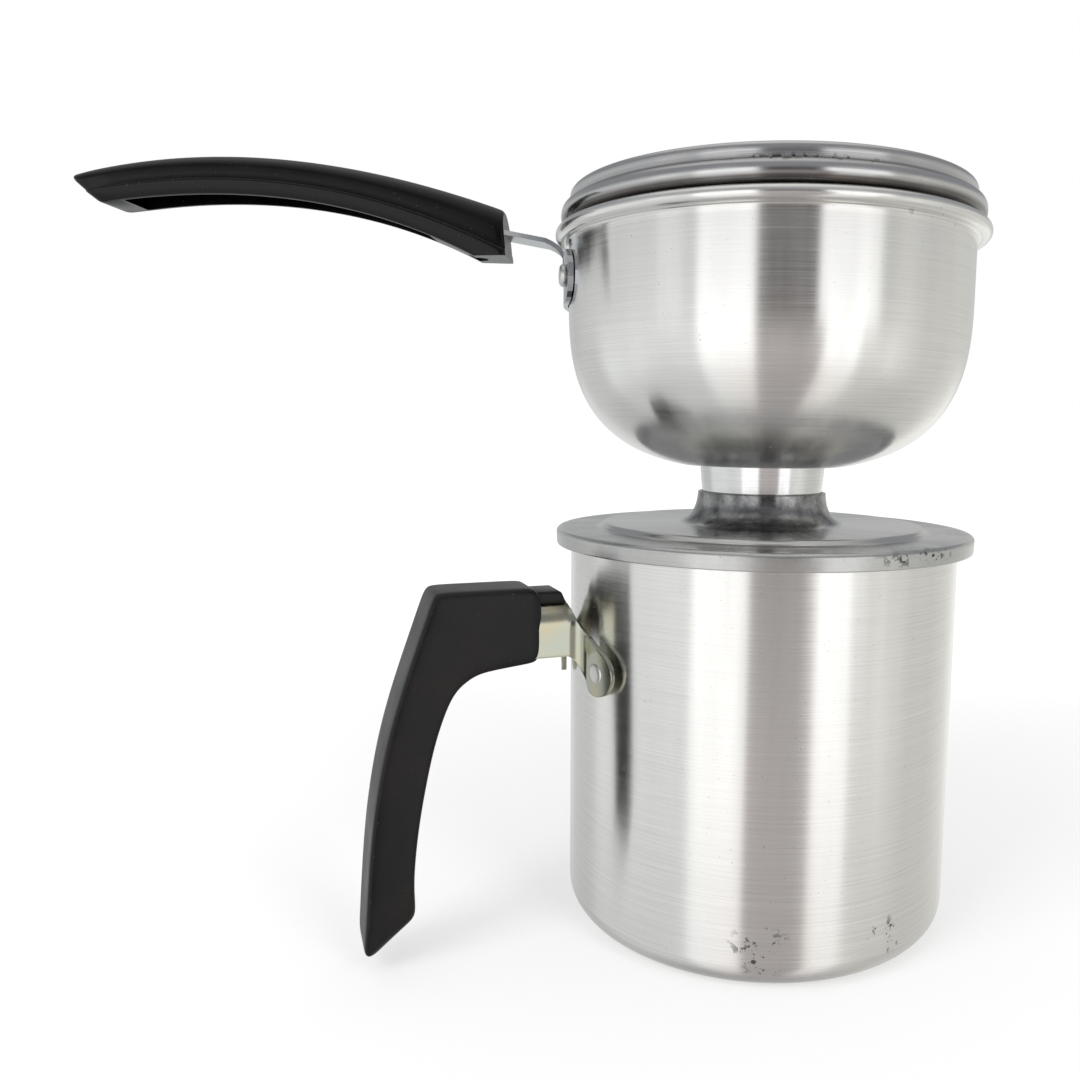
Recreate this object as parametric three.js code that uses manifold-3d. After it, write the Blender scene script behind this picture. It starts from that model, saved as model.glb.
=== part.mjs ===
// Two-tier aluminium couscous steamer: a pot with a side grip, a cover with a chimney,
// a round steamer bowl whose neck plugs into the chimney, a perforated grid and a lid.
// Millimetres, +Z up. The origin is the centre of the pot's base, and the pot's grip points along -X.
import * as THREE from 'three';
import { mergeVertices } from 'three/addons/utils/BufferGeometryUtils.js';
import Module from 'manifold-3d';

const wasm = await Module();
wasm.setup();

// Facets and clearances
const ROUND_SEGMENTS = 40;
const SMALL_SEGMENTS = 16;
const ARC_STEPS = 5;
const SEAT_GAP = 0.3;
const HOLE_CLEARANCE = 0.3;
const OVERCUT = 2;

// Pot
const POT_RADIUS = 65;
const POT_WALL = 1.2;
const POT_HEIGHT = 130.2;
const POT_CORNER = 9;
const POT_BEAD_RADIUS = 1.5;

// Cover
const COVER_SHEET = 1;
const COVER_NOSE_RADIUS = 3.5;
const COVER_OVERHANG = 5;
const COVER_SKIRT_CURL = THREE.MathUtils.degToRad(-40);
const COVER_RIM_WIDTH = 11;
const COVER_STEP_WIDTH = 1.2;
const COVER_STEP_RISE = 1.7;
const CHIMNEY_BASE_RADIUS = 28.5;
const CHIMNEY_HEIGHT = 10.5;

// Neck of the bowl
const NECK_RADIUS = 20.3;
const NECK_WALL = 1;
const NECK_TAPER = 0.8;
const NECK_SHOWN = 9;
const NECK_INSERTED = 9;
const NECK_FLARE = 0.8;
const NECK_FLANGE_WIDTH = 4.5;

// Bowl
const BOWL_RADIUS = 66.1;
const BOWL_WALL = 1.1;
const BOWL_FLAT_RADIUS = 27;
const BOWL_ROUND_HEIGHT = 54.2;
const BOWL_STRAIGHT_HEIGHT = 17.5;
const BOWL_FULLNESS = 2.8;
const BOWL_BEAD_RADIUS = 2.2;
const BOWL_STEPS = 9;
const BOWL_TURN = THREE.MathUtils.degToRad(24);

// Steam grid
const GRID_RADIUS = 40;
const GRID_SHEET = 1;
const GRID_RIM_HEIGHT = 3;
const GRID_HOLE_RADIUS = 2.3;
const GRID_HOLE_PITCH = 9.5;
const GRID_HOLE_RINGS = 3;

// Lid
const LID_SHEET = 1;
const LID_FLANGE_OVERLAP = 2.6;
const LID_FLANGE_HEIGHT = 6.8;
const LID_DRUM_INSET = 0.3;
const LID_DRUM_HEIGHT = 4.7;
const LID_LIP_DEPTH = 4.5;
const LID_RIM_WIDTH = 9.8;
const LID_PANEL_DROP = 1.6;
const KNOB_RADIUS = 13;
const KNOB_HEIGHT = 15;
const KNOB_FOOT_RADIUS = 8;
const KNOB_WAIST_INSET = 1;
const KNOB_SCREW_DEPTH = 9;
const KNOB_WASHER_RADIUS = 7;
const KNOB_WASHER_SHEET = 0.8;

// Screws and rivets
const SCREW_RADIUS = 1.8;
const SCREW_HEAD_RADIUS = 3;
const SCREW_HEAD_HEIGHT = 2.2;
const RIVET_RADIUS = 2;
const RIVET_HEAD_RADIUS = 3.6;
const RIVET_HEAD_HEIGHT = 1.6;
const RIVET_TAIL_HEIGHT = 1.2;
const RIVET_TAIL_GAP = 0.5;

// Pot bracket
const BRACKET_SHEET = 1.5;
const BRACKET_WIDTH = 16;
const BRACKET_HEIGHT = 16;
const BRACKET_TOP = 109.7;
const BRACKET_CORNER = 5;
const BRACKET_REACH = 15;
const BRACKET_WEB_SETBACK = 6;
const BRACKET_SLOPE_DROP = 6;
const BRACKET_SOCKET_DEPTH = 7;
const TONGUE_WIDTH = 9;
const TONGUE_END_MARGIN = 1;
const EAR_RADIUS = 7.3;
const EAR_ANGLE = THREE.MathUtils.degToRad(15);
const EAR_RIVET_DROP = 20;

// Pot grip
const GRIP_WIDTH = 20;
const GRIP_ROUNDING = 2.5;
const GRIP_ABOVE_BRACKET = 5.9;
const GRIP_BLOCK_LENGTH = 32;
const GRIP_BLOCK_HEIGHT = 24;
const GRIP_END_BULGE = 2.5;
const GRIP_UNDER_DROP = 1;
const GRIP_ELBOW_SETBACK = 4;
const GRIP_LEG_BOW_SHARE = 0.85;
const GRIP_LEG_KNEE_SHARE = 0.385;
const GRIP_LEG_THICKNESS = 15;
const GRIP_SPLAY = 23;
const GRIP_FOOT_CLEARANCE = 2.5;
const GRIP_TIP_FLAT = 1.6;
const GRIP_HEEL_HEIGHT = 14;
const GRIP_TAB_LENGTH = 10;
const GRIP_TAB_WIDTH = 13;
const GRIP_TAB_THICKNESS = 4;
const GRIP_SCREW_INSET = 5;
const GRIP_SCREW_SEAT = 14;

// Bowl handle strap
const STRAP_SHEET = 1.5;
const STRAP_WIDTH = 13;
const STRAP_LENGTH = 20;
const STRAP_RISE = THREE.MathUtils.degToRad(10.3);
const STRAP_BEND_DROP = 4.6;
const STRAP_BEND_REACH = 7.1;
const STRAP_BEND_HEIGHT = 6.6;
const STRAP_BEND_LEAN_SHARE = 0.17;
const STRAP_BEND_KNEE_SHARE = 0.67;
const STRAP_TANG = 22;
const STRAP_PLATE_WIDTH = 45;
const STRAP_PLATE_HEIGHT = 17;
const STRAP_PLATE_CORNER = 7.5;
const STRAP_BELOW_BEAD = 3.1;
const STRAP_RIVET_SPACING = 32;

// Bowl handle
const HANDLE_LENGTH = 147.2;
const HANDLE_END_HEIGHT = 21.9;
const HANDLE_END_LEAN = 2;
const HANDLE_BELOW_STRAP = 12.9;
const HANDLE_FLOOR_RISE = 6.2;
const HANDLE_TIP_HEIGHT = 10;
const HANDLE_TIP_SLANT = 11.6;
const HANDLE_TIP_RISE = 10.3;
const HANDLE_CROWN_ARCH = 27.2;
const HANDLE_UNDER_ARCH = 34.2;
const HANDLE_CROWN_PEAK_SHARE = 0.556;
const HANDLE_UNDER_PEAK_SHARE = 0.386;
const HANDLE_WIDTH_INNER = 17;
const HANDLE_WIDTH_TIP = 21;
const HANDLE_TIP_NARROWING_SHARE = 0.1;
const HANDLE_RECESS = 1.2;
const HANDLE_BAND_SHARE = 0.62;
const HANDLE_CROWN_SHARE = 0.3;
const HANDLE_WALL = 3;
const HANDLE_STATIONS = 14;
const HANDLE_HOLLOW_START_SHARE = 0.22;
const HANDLE_HOLLOW_END_SHARE = 0.93;
const HANDLE_HOLLOW_RISE_SHARE = 0.66;
const HANDLE_SCREW_INSET = 11;
const HANDLE_SCREW_COVER = 2.5;

// Heights that follow from the sizes above
const coverUnder = POT_HEIGHT + SEAT_GAP;
const coverTop = coverUnder + COVER_SHEET;
const panelTop = coverTop + COVER_STEP_RISE;
const chimneyTop = panelTop + CHIMNEY_HEIGHT;
const bowlBottom = chimneyTop + NECK_SHOWN;
const bowlEquator = bowlBottom + BOWL_ROUND_HEIGHT;
const bowlBeadLow = bowlEquator + BOWL_STRAIGHT_HEIGHT;
const bowlRim = bowlBeadLow + 2 * BOWL_BEAD_RADIUS;
const lidSeat = bowlRim + SEAT_GAP;
const lidTop = lidSeat + LID_FLANGE_HEIGHT + LID_DRUM_HEIGHT;
const lidPanelTop = lidTop - LID_PANEL_DROP;

// Materials
const aluminium = new THREE.MeshStandardMaterial({ color: 0xc9cac8, roughness: 0.34, metalness: 1 });
const polished = new THREE.MeshStandardMaterial({ color: 0xd2d3d1, roughness: 0.2, metalness: 1 });
const platedSteel = new THREE.MeshStandardMaterial({ color: 0xbfc2b2, roughness: 0.28, metalness: 1 });
const bakelite = new THREE.MeshStandardMaterial({ color: 0x161618, roughness: 0.38, metalness: 0 });

// A solid for joining and cutting: shared corners, no empty faces, facing out.
function solid(geometry) {
  const bare = new THREE.BufferGeometry();
  bare.setAttribute('position', geometry.getAttribute('position'));
  bare.setIndex(geometry.index);
  const merged = mergeVertices(bare, 1e-4);
  const vertProperties = new Float32Array(merged.getAttribute('position').array);
  const index = merged.index.array;
  const corners = [new THREE.Vector3(), new THREE.Vector3(), new THREE.Vector3()];
  const kept = [];
  let volume = 0;
  for (let i = 0; i < index.length; i += 3) {
    const face = [index[i], index[i + 1], index[i + 2]];
    if (new Set(face).size === 3) {
      kept.push(...face);
      corners.forEach((corner, k) => corner.fromArray(vertProperties, 3 * face[k]));
      volume += corners[0].dot(corners[1].cross(corners[2]));
    }
  }
  if (volume < 0) {
    kept.reverse();
  }
  const triVerts = new Uint32Array(kept);
  return new wasm.Manifold(new wasm.Mesh({ numProp: 3, vertProperties, triVerts }));
}

function geometryOf(body) {
  const mesh = body.getMesh();
  const geometry = new THREE.BufferGeometry();
  geometry.setAttribute('position', new THREE.BufferAttribute(new Float32Array(mesh.vertProperties), 3));
  geometry.setIndex(new THREE.BufferAttribute(new Uint32Array(mesh.triVerts), 1));
  geometry.computeVertexNormals();
  return geometry;
}

function joined(first, ...others) {
  return geometryOf(others.reduce((body, other) => body.add(solid(other)), solid(first)));
}

function cut(first, ...tools) {
  return geometryOf(tools.reduce((body, tool) => body.subtract(solid(tool)), solid(first)));
}

function common(first, second) {
  return geometryOf(solid(first).intersect(solid(second)));
}

function addPart(group, name, geometry, material) {
  const mesh = new THREE.Mesh(geometryOf(solid(geometry)), material);
  mesh.name = name;
  group.add(mesh);
}

// A round shape about Z from [radius, height] points. The outline is closed here.
function turned(points, segments = ROUND_SEGMENTS) {
  const outline = points.map(([radius, height]) => new THREE.Vector2(radius, height));
  outline.push(outline[0].clone());
  return new THREE.LatheGeometry(outline, segments).rotateX(Math.PI / 2);
}

function cylinder(radius, low, high, segments = SMALL_SEGMENTS) {
  return turned([[0, low], [radius, low], [radius, high], [0, high]], segments);
}

// Points along a circular arc, both ends included.
function arc(centre, radius, from, to, steps = ARC_STEPS) {
  const points = [];
  for (let i = 0; i <= steps; i += 1) {
    const angle = from + ((to - from) * i) / steps;
    points.push([centre[0] + radius * Math.cos(angle), centre[1] + radius * Math.sin(angle)]);
  }
  return points;
}

function quadraticAt(start, control, end, t) {
  const a = (1 - t) * (1 - t);
  const b = 2 * t * (1 - t);
  const c = t * t;
  return [a * start[0] + b * control[0] + c * end[0], a * start[1] + b * control[1] + c * end[1]];
}

// Points along a stretch of a quadratic curve, both ends included.
function quadratic(start, control, end, from = 0, to = 1) {
  const points = [];
  for (let i = 0; i <= ARC_STEPS; i += 1) {
    points.push(quadraticAt(start, control, end, from + ((to - from) * i) / ARC_STEPS));
  }
  return points;
}

function shapeOf(points) {
  return new THREE.Shape(points.map(([across, up]) => new THREE.Vector2(across, up)));
}

// An outline of [x, z] points spread evenly to both sides of the x-z plane.
// With a rounding, the outline swells by it and its edges turn round.
function slab(points, width, rounding = 0) {
  const depth = width - 2 * rounding;
  const geometry = new THREE.ExtrudeGeometry(shapeOf(points), {
    depth,
    bevelEnabled: rounding > 0,
    bevelThickness: rounding,
    bevelSize: rounding,
    bevelSegments: 3,
  });
  return geometry.translate(0, 0, -depth / 2).rotateX(Math.PI / 2);
}

// An outline of [y, z] points drawn along X between two distances.
function bar(points, from, to) {
  const geometry = new THREE.ExtrudeGeometry(shapeOf(points), { depth: to - from, bevelEnabled: false });
  return geometry.rotateX(Math.PI / 2).rotateZ(Math.PI / 2).translate(from, 0, 0);
}

function block(low, high) {
  const size = high.map((value, axis) => value - low[axis]);
  const middle = low.map((value, axis) => value + size[axis] / 2);
  return new THREE.BoxGeometry(...size).translate(...middle);
}

// A skin over rings of equal point count, with flat ends. Rings run anticlockwise seen from +X.
function loft(rings) {
  const count = rings[0].length;
  const index = [];
  for (let i = 0; i + 1 < rings.length; i += 1) {
    for (let k = 0; k < count; k += 1) {
      const a = i * count + k;
      const b = i * count + ((k + 1) % count);
      index.push(a, b, b + count, a, b + count, a + count);
    }
  }
  const last = (rings.length - 1) * count;
  const contour = rings[0].map(([, y, z]) => new THREE.Vector2(y, z));
  THREE.ShapeUtils.triangulateShape(contour, []).forEach(([a, b, c]) => {
    index.push(a, c, b, last + a, last + b, last + c);
  });
  const geometry = new THREE.BufferGeometry();
  geometry.setAttribute('position', new THREE.Float32BufferAttribute(rings.flat(2), 3));
  geometry.setIndex(index);
  return geometry;
}

// Lays a shape that stands on Z along the radius at an angle, at a height.
function radial(geometry, angle, height) {
  return geometry.rotateY(Math.PI / 2).rotateZ(angle).translate(0, 0, height);
}

// A rivet along a radius: domed head outside, shank through the sheets, flat head inside.
function rivet(seat, grip, angle, height) {
  const inside = seat - grip;
  const profile = [
    [0, inside - RIVET_TAIL_HEIGHT],
    [RIVET_HEAD_RADIUS, inside - RIVET_TAIL_HEIGHT],
    [RIVET_HEAD_RADIUS, inside],
    [RIVET_RADIUS, inside],
    [RIVET_RADIUS, seat],
    [RIVET_HEAD_RADIUS, seat],
    [RIVET_HEAD_RADIUS, seat + RIVET_HEAD_HEIGHT / 2],
    [RIVET_HEAD_RADIUS - RIVET_HEAD_HEIGHT / 2, seat + RIVET_HEAD_HEIGHT],
    [0, seat + RIVET_HEAD_HEIGHT],
  ];
  return radial(turned(profile, SMALL_SEGMENTS), angle, height);
}

// The hole for a rivet through every sheet near a radius.
function rivetHole(radius, angle, height) {
  const reach = RIVET_HEAD_RADIUS + RIVET_HEAD_HEIGHT;
  return radial(cylinder(RIVET_RADIUS + HOLE_CLEARANCE, radius - reach, radius + reach), angle, height);
}

// A screw that points up, with the top of its head at the seat height.
function screw(seat, tip, at) {
  const profile = [
    [0, seat - SCREW_HEAD_HEIGHT],
    [SCREW_HEAD_RADIUS, seat - SCREW_HEAD_HEIGHT],
    [SCREW_HEAD_RADIUS, seat],
    [SCREW_RADIUS, seat],
    [SCREW_RADIUS, tip],
    [0, tip],
  ];
  return turned(profile, SMALL_SEGMENTS).translate(at, 0, 0);
}

function screwHole(low, high, at) {
  return cylinder(SCREW_RADIUS + HOLE_CLEARANCE, low, high).translate(at, 0, 0);
}

// The way in for a screw's head, from below up to its seat.
function screwRecess(low, seat, at) {
  return cylinder(SCREW_HEAD_RADIUS + HOLE_CLEARANCE, low, seat).translate(at, 0, 0);
}

// Pot

const potHandleRoot = POT_RADIUS + BRACKET_REACH;
const earInside = POT_RADIUS + SEAT_GAP;
const earOutside = earInside + BRACKET_SHEET;
const potRivetHeight = BRACKET_TOP - EAR_RIVET_DROP;
const potRivetSeat = earOutside + SEAT_GAP;
const potRivetGrip = potRivetSeat - POT_RADIUS + POT_WALL + RIVET_TAIL_GAP;

function potShell() {
  const inside = POT_RADIUS - POT_WALL;
  const innerCorner = POT_CORNER - POT_WALL;
  const beadMiddle = [POT_RADIUS + POT_BEAD_RADIUS - POT_WALL / 2, POT_HEIGHT - POT_BEAD_RADIUS];
  const shell = turned([
    [0, 0],
    ...arc([POT_RADIUS - POT_CORNER, POT_CORNER], POT_CORNER, -Math.PI / 2, 0),
    [POT_RADIUS, POT_HEIGHT - 2 * POT_BEAD_RADIUS],
    ...arc(beadMiddle, POT_BEAD_RADIUS, -Math.PI / 2, Math.PI / 2),
    [inside, POT_HEIGHT],
    ...arc([inside - innerCorner, POT_CORNER], innerCorner, 0, -Math.PI / 2),
    [0, POT_WALL],
  ]);
  return cut(
    shell,
    rivetHole(POT_RADIUS, EAR_ANGLE, potRivetHeight),
    rivetHole(POT_RADIUS, -EAR_ANGLE, potRivetHeight),
  );
}

function potRivet(side) {
  return rivet(potRivetSeat, potRivetGrip, side * EAR_ANGLE, potRivetHeight);
}

// Pot grip and its bracket, drawn along +X

const bracketLow = BRACKET_TOP - BRACKET_HEIGHT;
const channelEnd = potHandleRoot + BRACKET_SOCKET_DEPTH;
const gripTop = BRACKET_TOP + GRIP_ABOVE_BRACKET;
const gripUnder = gripTop - GRIP_BLOCK_HEIGHT;
const gripOuter = potHandleRoot + GRIP_BLOCK_LENGTH;
const gripTip = gripOuter + GRIP_SPLAY;
const tongueEnd = gripOuter - TONGUE_END_MARGIN;
const gripScrewAt = gripOuter - GRIP_SCREW_INSET;
const gripScrewSeat = BRACKET_TOP - GRIP_SCREW_SEAT;
const gripScrewTip = BRACKET_TOP + BRACKET_SHEET;

// The outline across the channel, grown all round by a margin: straight sides under a round-cornered web.
function channelOutline(margin, low) {
  const half = BRACKET_WIDTH / 2 + margin;
  const corner = BRACKET_CORNER + margin;
  const shoulder = BRACKET_TOP - BRACKET_CORNER;
  return [
    [-half, low],
    [half, low],
    ...arc([half - corner, shoulder], corner, 0, Math.PI / 2),
    ...arc([corner - half, shoulder], corner, Math.PI / 2, Math.PI),
  ];
}

// The angle on a circle where a line from an outside point touches its far side.
function tangentAngle(point, centre, radius) {
  const across = point[0] - centre[0];
  const up = point[1] - centre[1];
  return Math.atan2(up, across) - Math.acos(radius / Math.hypot(across, up));
}

// One ear, bent round the pot: a sloping top edge that runs into a round end about the rivet.
function ear(side) {
  const root = BRACKET_WIDTH / 2 - BRACKET_SHEET;
  const shoulder = [root, BRACKET_TOP - BRACKET_SLOPE_DROP];
  const centre = [earOutside * Math.sin(EAR_ANGLE), potRivetHeight];
  const outline = [
    [root, bracketLow],
    ...arc(centre, EAR_RADIUS, -Math.PI, tangentAngle(shoulder, centre, EAR_RADIUS), 2 * ARC_STEPS),
    shoulder,
  ];
  const ringLow = potRivetHeight - 2 * EAR_RADIUS;
  const ring = turned([
    [earInside, ringLow],
    [earOutside, ringLow],
    [earOutside, BRACKET_TOP],
    [earInside, BRACKET_TOP],
  ], 2 * ROUND_SEGMENTS);
  const stencil = bar(outline.map(([y, z]) => [side * y, z]), POT_RADIUS / 2, earOutside + OVERCUT);
  return common(ring, stencil);
}

function potBracket() {
  const webEnd = POT_RADIUS + BRACKET_WEB_SETBACK;
  const shoulder = BRACKET_TOP - BRACKET_SLOPE_DROP;
  const channel = cut(
    bar(channelOutline(0, bracketLow), POT_RADIUS / 2, channelEnd),
    bar(channelOutline(-BRACKET_SHEET, bracketLow - OVERCUT), 0, channelEnd + OVERCUT),
    cylinder(earInside, 0, POT_HEIGHT, 2 * ROUND_SEGMENTS),
    slab([
      [0, shoulder],
      [POT_RADIUS, shoulder],
      [webEnd, BRACKET_TOP - BRACKET_SHEET],
      [webEnd, BRACKET_TOP + OVERCUT],
      [0, BRACKET_TOP + OVERCUT],
    ], 2 * BRACKET_WIDTH),
  );
  const tongue = block(
    [channelEnd - BRACKET_SHEET, -TONGUE_WIDTH / 2, BRACKET_TOP - BRACKET_SHEET],
    [tongueEnd, TONGUE_WIDTH / 2, BRACKET_TOP],
  );
  return cut(
    joined(channel, ear(1), ear(-1), tongue),
    screwHole(bracketLow, BRACKET_TOP + OVERCUT, gripScrewAt),
    rivetHole(earOutside, EAR_ANGLE, potRivetHeight),
    rivetHole(earOutside, -EAR_ANGLE, potRivetHeight),
  );
}

// A stretch of the leg's outer curve, shifted towards the pot.
function legCurve(shift, from, to) {
  const drop = gripTop - GRIP_FOOT_CLEARANCE;
  return quadratic(
    [gripOuter - shift, gripTop],
    [gripOuter + GRIP_LEG_BOW_SHARE * GRIP_SPLAY - shift, gripTop - GRIP_LEG_KNEE_SHARE * drop],
    [gripTip - shift, GRIP_FOOT_CLEARANCE],
    from,
    to,
  );
}

// The side outline of the grip, drawn smaller by the rounding that swells it.
function gripOutline() {
  const inset = GRIP_ROUNDING;
  const outerCurve = legCurve(inset, 0.94, 0.07);
  const innerCurve = legCurve(GRIP_LEG_THICKNESS - inset, 0.36, 0.85);
  const elbow = innerCurve[0];
  const heel = innerCurve[innerCurve.length - 1];
  const under = [gripOuter - GRIP_LEG_THICKNESS, gripUnder - GRIP_UNDER_DROP + inset];
  const blockEnd = potHandleRoot + inset;
  return [
    [blockEnd + GRIP_END_BULGE, gripUnder + inset],
    ...quadratic(under, [elbow[0] - GRIP_ELBOW_SETBACK, under[1]], elbow),
    ...innerCurve.slice(1),
    [heel[0], GRIP_HEEL_HEIGHT + inset],
    [gripTip - inset - GRIP_TIP_FLAT, GRIP_FOOT_CLEARANCE + inset],
    [gripTip - inset, GRIP_FOOT_CLEARANCE + inset],
    ...outerCurve,
    [gripOuter - inset, gripTop - inset],
    [blockEnd + GRIP_END_BULGE, gripTop - inset],
    [blockEnd, (gripTop + gripUnder) / 2],
  ];
}

function potGrip() {
  const tabLow = BRACKET_TOP + SEAT_GAP;
  const tabRoot = potHandleRoot + GRIP_END_BULGE + GRIP_ROUNDING;
  const tabNose = potHandleRoot - GRIP_TAB_LENGTH;
  const tab = slab([
    [tabNose, tabLow],
    [tabRoot, tabLow],
    [tabRoot, tabLow + GRIP_TAB_THICKNESS],
    [tabNose + GRIP_TAB_THICKNESS / 2, tabLow + GRIP_TAB_THICKNESS],
  ], GRIP_TAB_WIDTH);
  const slotHalf = TONGUE_WIDTH / 2 + SEAT_GAP;
  return cut(
    joined(slab(gripOutline(), GRIP_WIDTH, GRIP_ROUNDING), tab),
    bar(channelOutline(SEAT_GAP, bracketLow - SEAT_GAP), 0, channelEnd + SEAT_GAP),
    block(
      [potHandleRoot, -slotHalf, BRACKET_TOP - BRACKET_SHEET - SEAT_GAP],
      [tongueEnd + SEAT_GAP, slotHalf, BRACKET_TOP + SEAT_GAP],
    ),
    screwRecess(gripUnder / 2, gripScrewSeat, gripScrewAt),
    screwHole(gripScrewSeat - OVERCUT, gripScrewTip + HOLE_CLEARANCE, gripScrewAt),
  );
}

function potGripScrew() {
  return screw(gripScrewSeat - SEAT_GAP, gripScrewTip, gripScrewAt);
}

// Cover

function coverPlate() {
  const noseMiddle = [POT_RADIUS + COVER_OVERHANG - COVER_NOSE_RADIUS, coverTop - COVER_NOSE_RADIUS];
  const panel = POT_RADIUS - COVER_RIM_WIDTH;
  const stepEnd = panel + COVER_STEP_WIDTH;
  const panelUnder = panelTop - COVER_SHEET;
  const throat = NECK_RADIUS + SEAT_GAP;
  const throatLow = throat - NECK_TAPER / 2;
  const throatEnd = chimneyTop - NECK_INSERTED / 2;
  const lip = throat + COVER_SHEET;
  return turned([
    [throat, chimneyTop],
    ...quadratic(
      [throatLow, throatEnd],
      [throatLow + COVER_SHEET, panelUnder],
      [CHIMNEY_BASE_RADIUS, panelUnder],
    ),
    [panel, panelUnder],
    [stepEnd, coverUnder],
    ...arc(noseMiddle, COVER_NOSE_RADIUS - COVER_SHEET, Math.PI / 2, COVER_SKIRT_CURL),
    ...arc(noseMiddle, COVER_NOSE_RADIUS, COVER_SKIRT_CURL, Math.PI / 2),
    [stepEnd, coverTop],
    [panel, panelTop],
    ...quadratic([CHIMNEY_BASE_RADIUS, panelTop], [lip + COVER_SHEET, panelTop], [lip, chimneyTop]),
  ]);
}

// Bowl

const bowlInside = BOWL_RADIUS - BOWL_WALL;
const strapInside = BOWL_RADIUS + SEAT_GAP;
const strapOutside = strapInside + STRAP_SHEET;
const plateHigh = bowlBeadLow - STRAP_BELOW_BEAD;
const plateLow = plateHigh - STRAP_PLATE_HEIGHT;
const bowlRivetHeight = (plateHigh + plateLow) / 2;
const bowlRivetAngle = Math.asin(STRAP_RIVET_SPACING / 2 / BOWL_RADIUS);
const bowlRivetSeat = strapOutside + SEAT_GAP;
const bowlRivetGrip = bowlRivetSeat - bowlInside + RIVET_TAIL_GAP;

// How far down the round of the bowl lies at a share of its radius: 1 at the axis, 0 at the wall.
function roundness(share) {
  return (1 - share ** BOWL_FULLNESS) ** (1 / BOWL_FULLNESS);
}

// Height of the round of the bowl at a radius, outside with no wall given, inside with the wall.
function bowlHeight(radius, wall) {
  const full = BOWL_RADIUS - wall;
  const depth = (BOWL_ROUND_HEIGHT - wall) / roundness(BOWL_FLAT_RADIUS / full);
  return bowlEquator - depth * roundness(radius / full);
}

// The round of the bowl from its flat floor up to the straight wall.
function bowlCurve(wall) {
  const full = BOWL_RADIUS - wall;
  const start = Math.acos((BOWL_FLAT_RADIUS / full) ** (BOWL_FULLNESS / 2));
  const points = [];
  for (let i = 0; i <= BOWL_STEPS; i += 1) {
    const radius = full * Math.cos(start * (1 - i / BOWL_STEPS)) ** (2 / BOWL_FULLNESS);
    points.push([radius, bowlHeight(radius, wall)]);
  }
  return points;
}

function bowlShell() {
  const hole = NECK_RADIUS + NECK_FLARE + SEAT_GAP;
  const beadMiddle = [BOWL_RADIUS + BOWL_BEAD_RADIUS, bowlBeadLow + BOWL_BEAD_RADIUS];
  const shell = turned([
    [hole, bowlBottom],
    ...bowlCurve(0),
    [BOWL_RADIUS, bowlBeadLow],
    ...arc(beadMiddle, BOWL_BEAD_RADIUS, -0.75 * Math.PI, Math.PI / 2),
    [bowlInside + BOWL_WALL / 2, bowlRim],
    [bowlInside, bowlRim - BOWL_WALL / 2],
    ...bowlCurve(BOWL_WALL).reverse(),
    [hole, bowlBottom + BOWL_WALL],
  ]);
  return cut(
    shell,
    rivetHole(BOWL_RADIUS, bowlRivetAngle, bowlRivetHeight),
    rivetHole(BOWL_RADIUS, -bowlRivetAngle, bowlRivetHeight),
  );
}

function bowlRivet(side) {
  return rivet(bowlRivetSeat, bowlRivetGrip, side * bowlRivetAngle, bowlRivetHeight);
}

function bowlNeck() {
  const low = chimneyTop - NECK_INSERTED;
  const inside = NECK_RADIUS - NECK_WALL;
  const floor = bowlBottom + BOWL_WALL + SEAT_GAP;
  const top = NECK_RADIUS + NECK_FLARE;
  const flange = top + NECK_FLANGE_WIDTH;
  return turned([
    [NECK_RADIUS - NECK_TAPER, low],
    [NECK_RADIUS, chimneyTop],
    [top, bowlBottom],
    [top, floor],
    [flange, floor],
    [flange, floor + NECK_WALL],
    [top - NECK_WALL, floor + NECK_WALL],
    [inside, chimneyTop],
    [inside - NECK_TAPER, low],
  ]);
}

function steamGrid() {
  const low = bowlHeight(GRID_RADIUS, BOWL_WALL) + SEAT_GAP;
  const high = low + GRID_RIM_HEIGHT;
  const inside = GRID_RADIUS - GRID_SHEET;
  const disc = turned([
    [0, high - GRID_SHEET],
    [inside, high - GRID_SHEET],
    [inside, low],
    [GRID_RADIUS, low],
    [GRID_RADIUS, high - GRID_SHEET / 2],
    [GRID_RADIUS - GRID_SHEET / 2, high],
    [0, high],
  ]);
  const holes = [];
  for (let ring = 0; ring <= GRID_HOLE_RINGS; ring += 1) {
    const reach = ring * GRID_HOLE_PITCH;
    const count = Math.max(1, 6 * ring);
    for (let i = 0; i < count; i += 1) {
      const hole = cylinder(GRID_HOLE_RADIUS, low, high + OVERCUT, SMALL_SEGMENTS / 2);
      holes.push(hole.translate(reach, 0, 0).rotateZ((2 * Math.PI * i) / count));
    }
  }
  return cut(disc, ...holes);
}

// Bowl handle and its strap, drawn along +X

const bendStart = [strapInside, bowlBeadLow - STRAP_BEND_DROP];
const bendEnd = [bendStart[0] + STRAP_BEND_REACH, bendStart[1] + STRAP_BEND_HEIGHT];
const handleRoot = BOWL_RADIUS + STRAP_LENGTH;
const tangEnd = handleRoot + STRAP_TANG;
const handleScrewAt = handleRoot + HANDLE_SCREW_INSET;
const handleScrewSeat = strapHeight(STRAP_SHEET, handleScrewAt) - HANDLE_SCREW_COVER;
const handleScrewTip = strapHeight(0, handleScrewAt) + STRAP_SHEET;
const handleLow = strapHeight(STRAP_SHEET, handleRoot) - HANDLE_BELOW_STRAP;
const handleHigh = handleLow + HANDLE_END_HEIGHT;
const handleTip = handleRoot + HANDLE_LENGTH;

// Height of the strap's straight run at a distance, at a depth below its upper face.
function strapHeight(depth, at) {
  return bendEnd[1] - depth / Math.cos(STRAP_RISE) + (at - bendEnd[0]) * Math.tan(STRAP_RISE);
}

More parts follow.
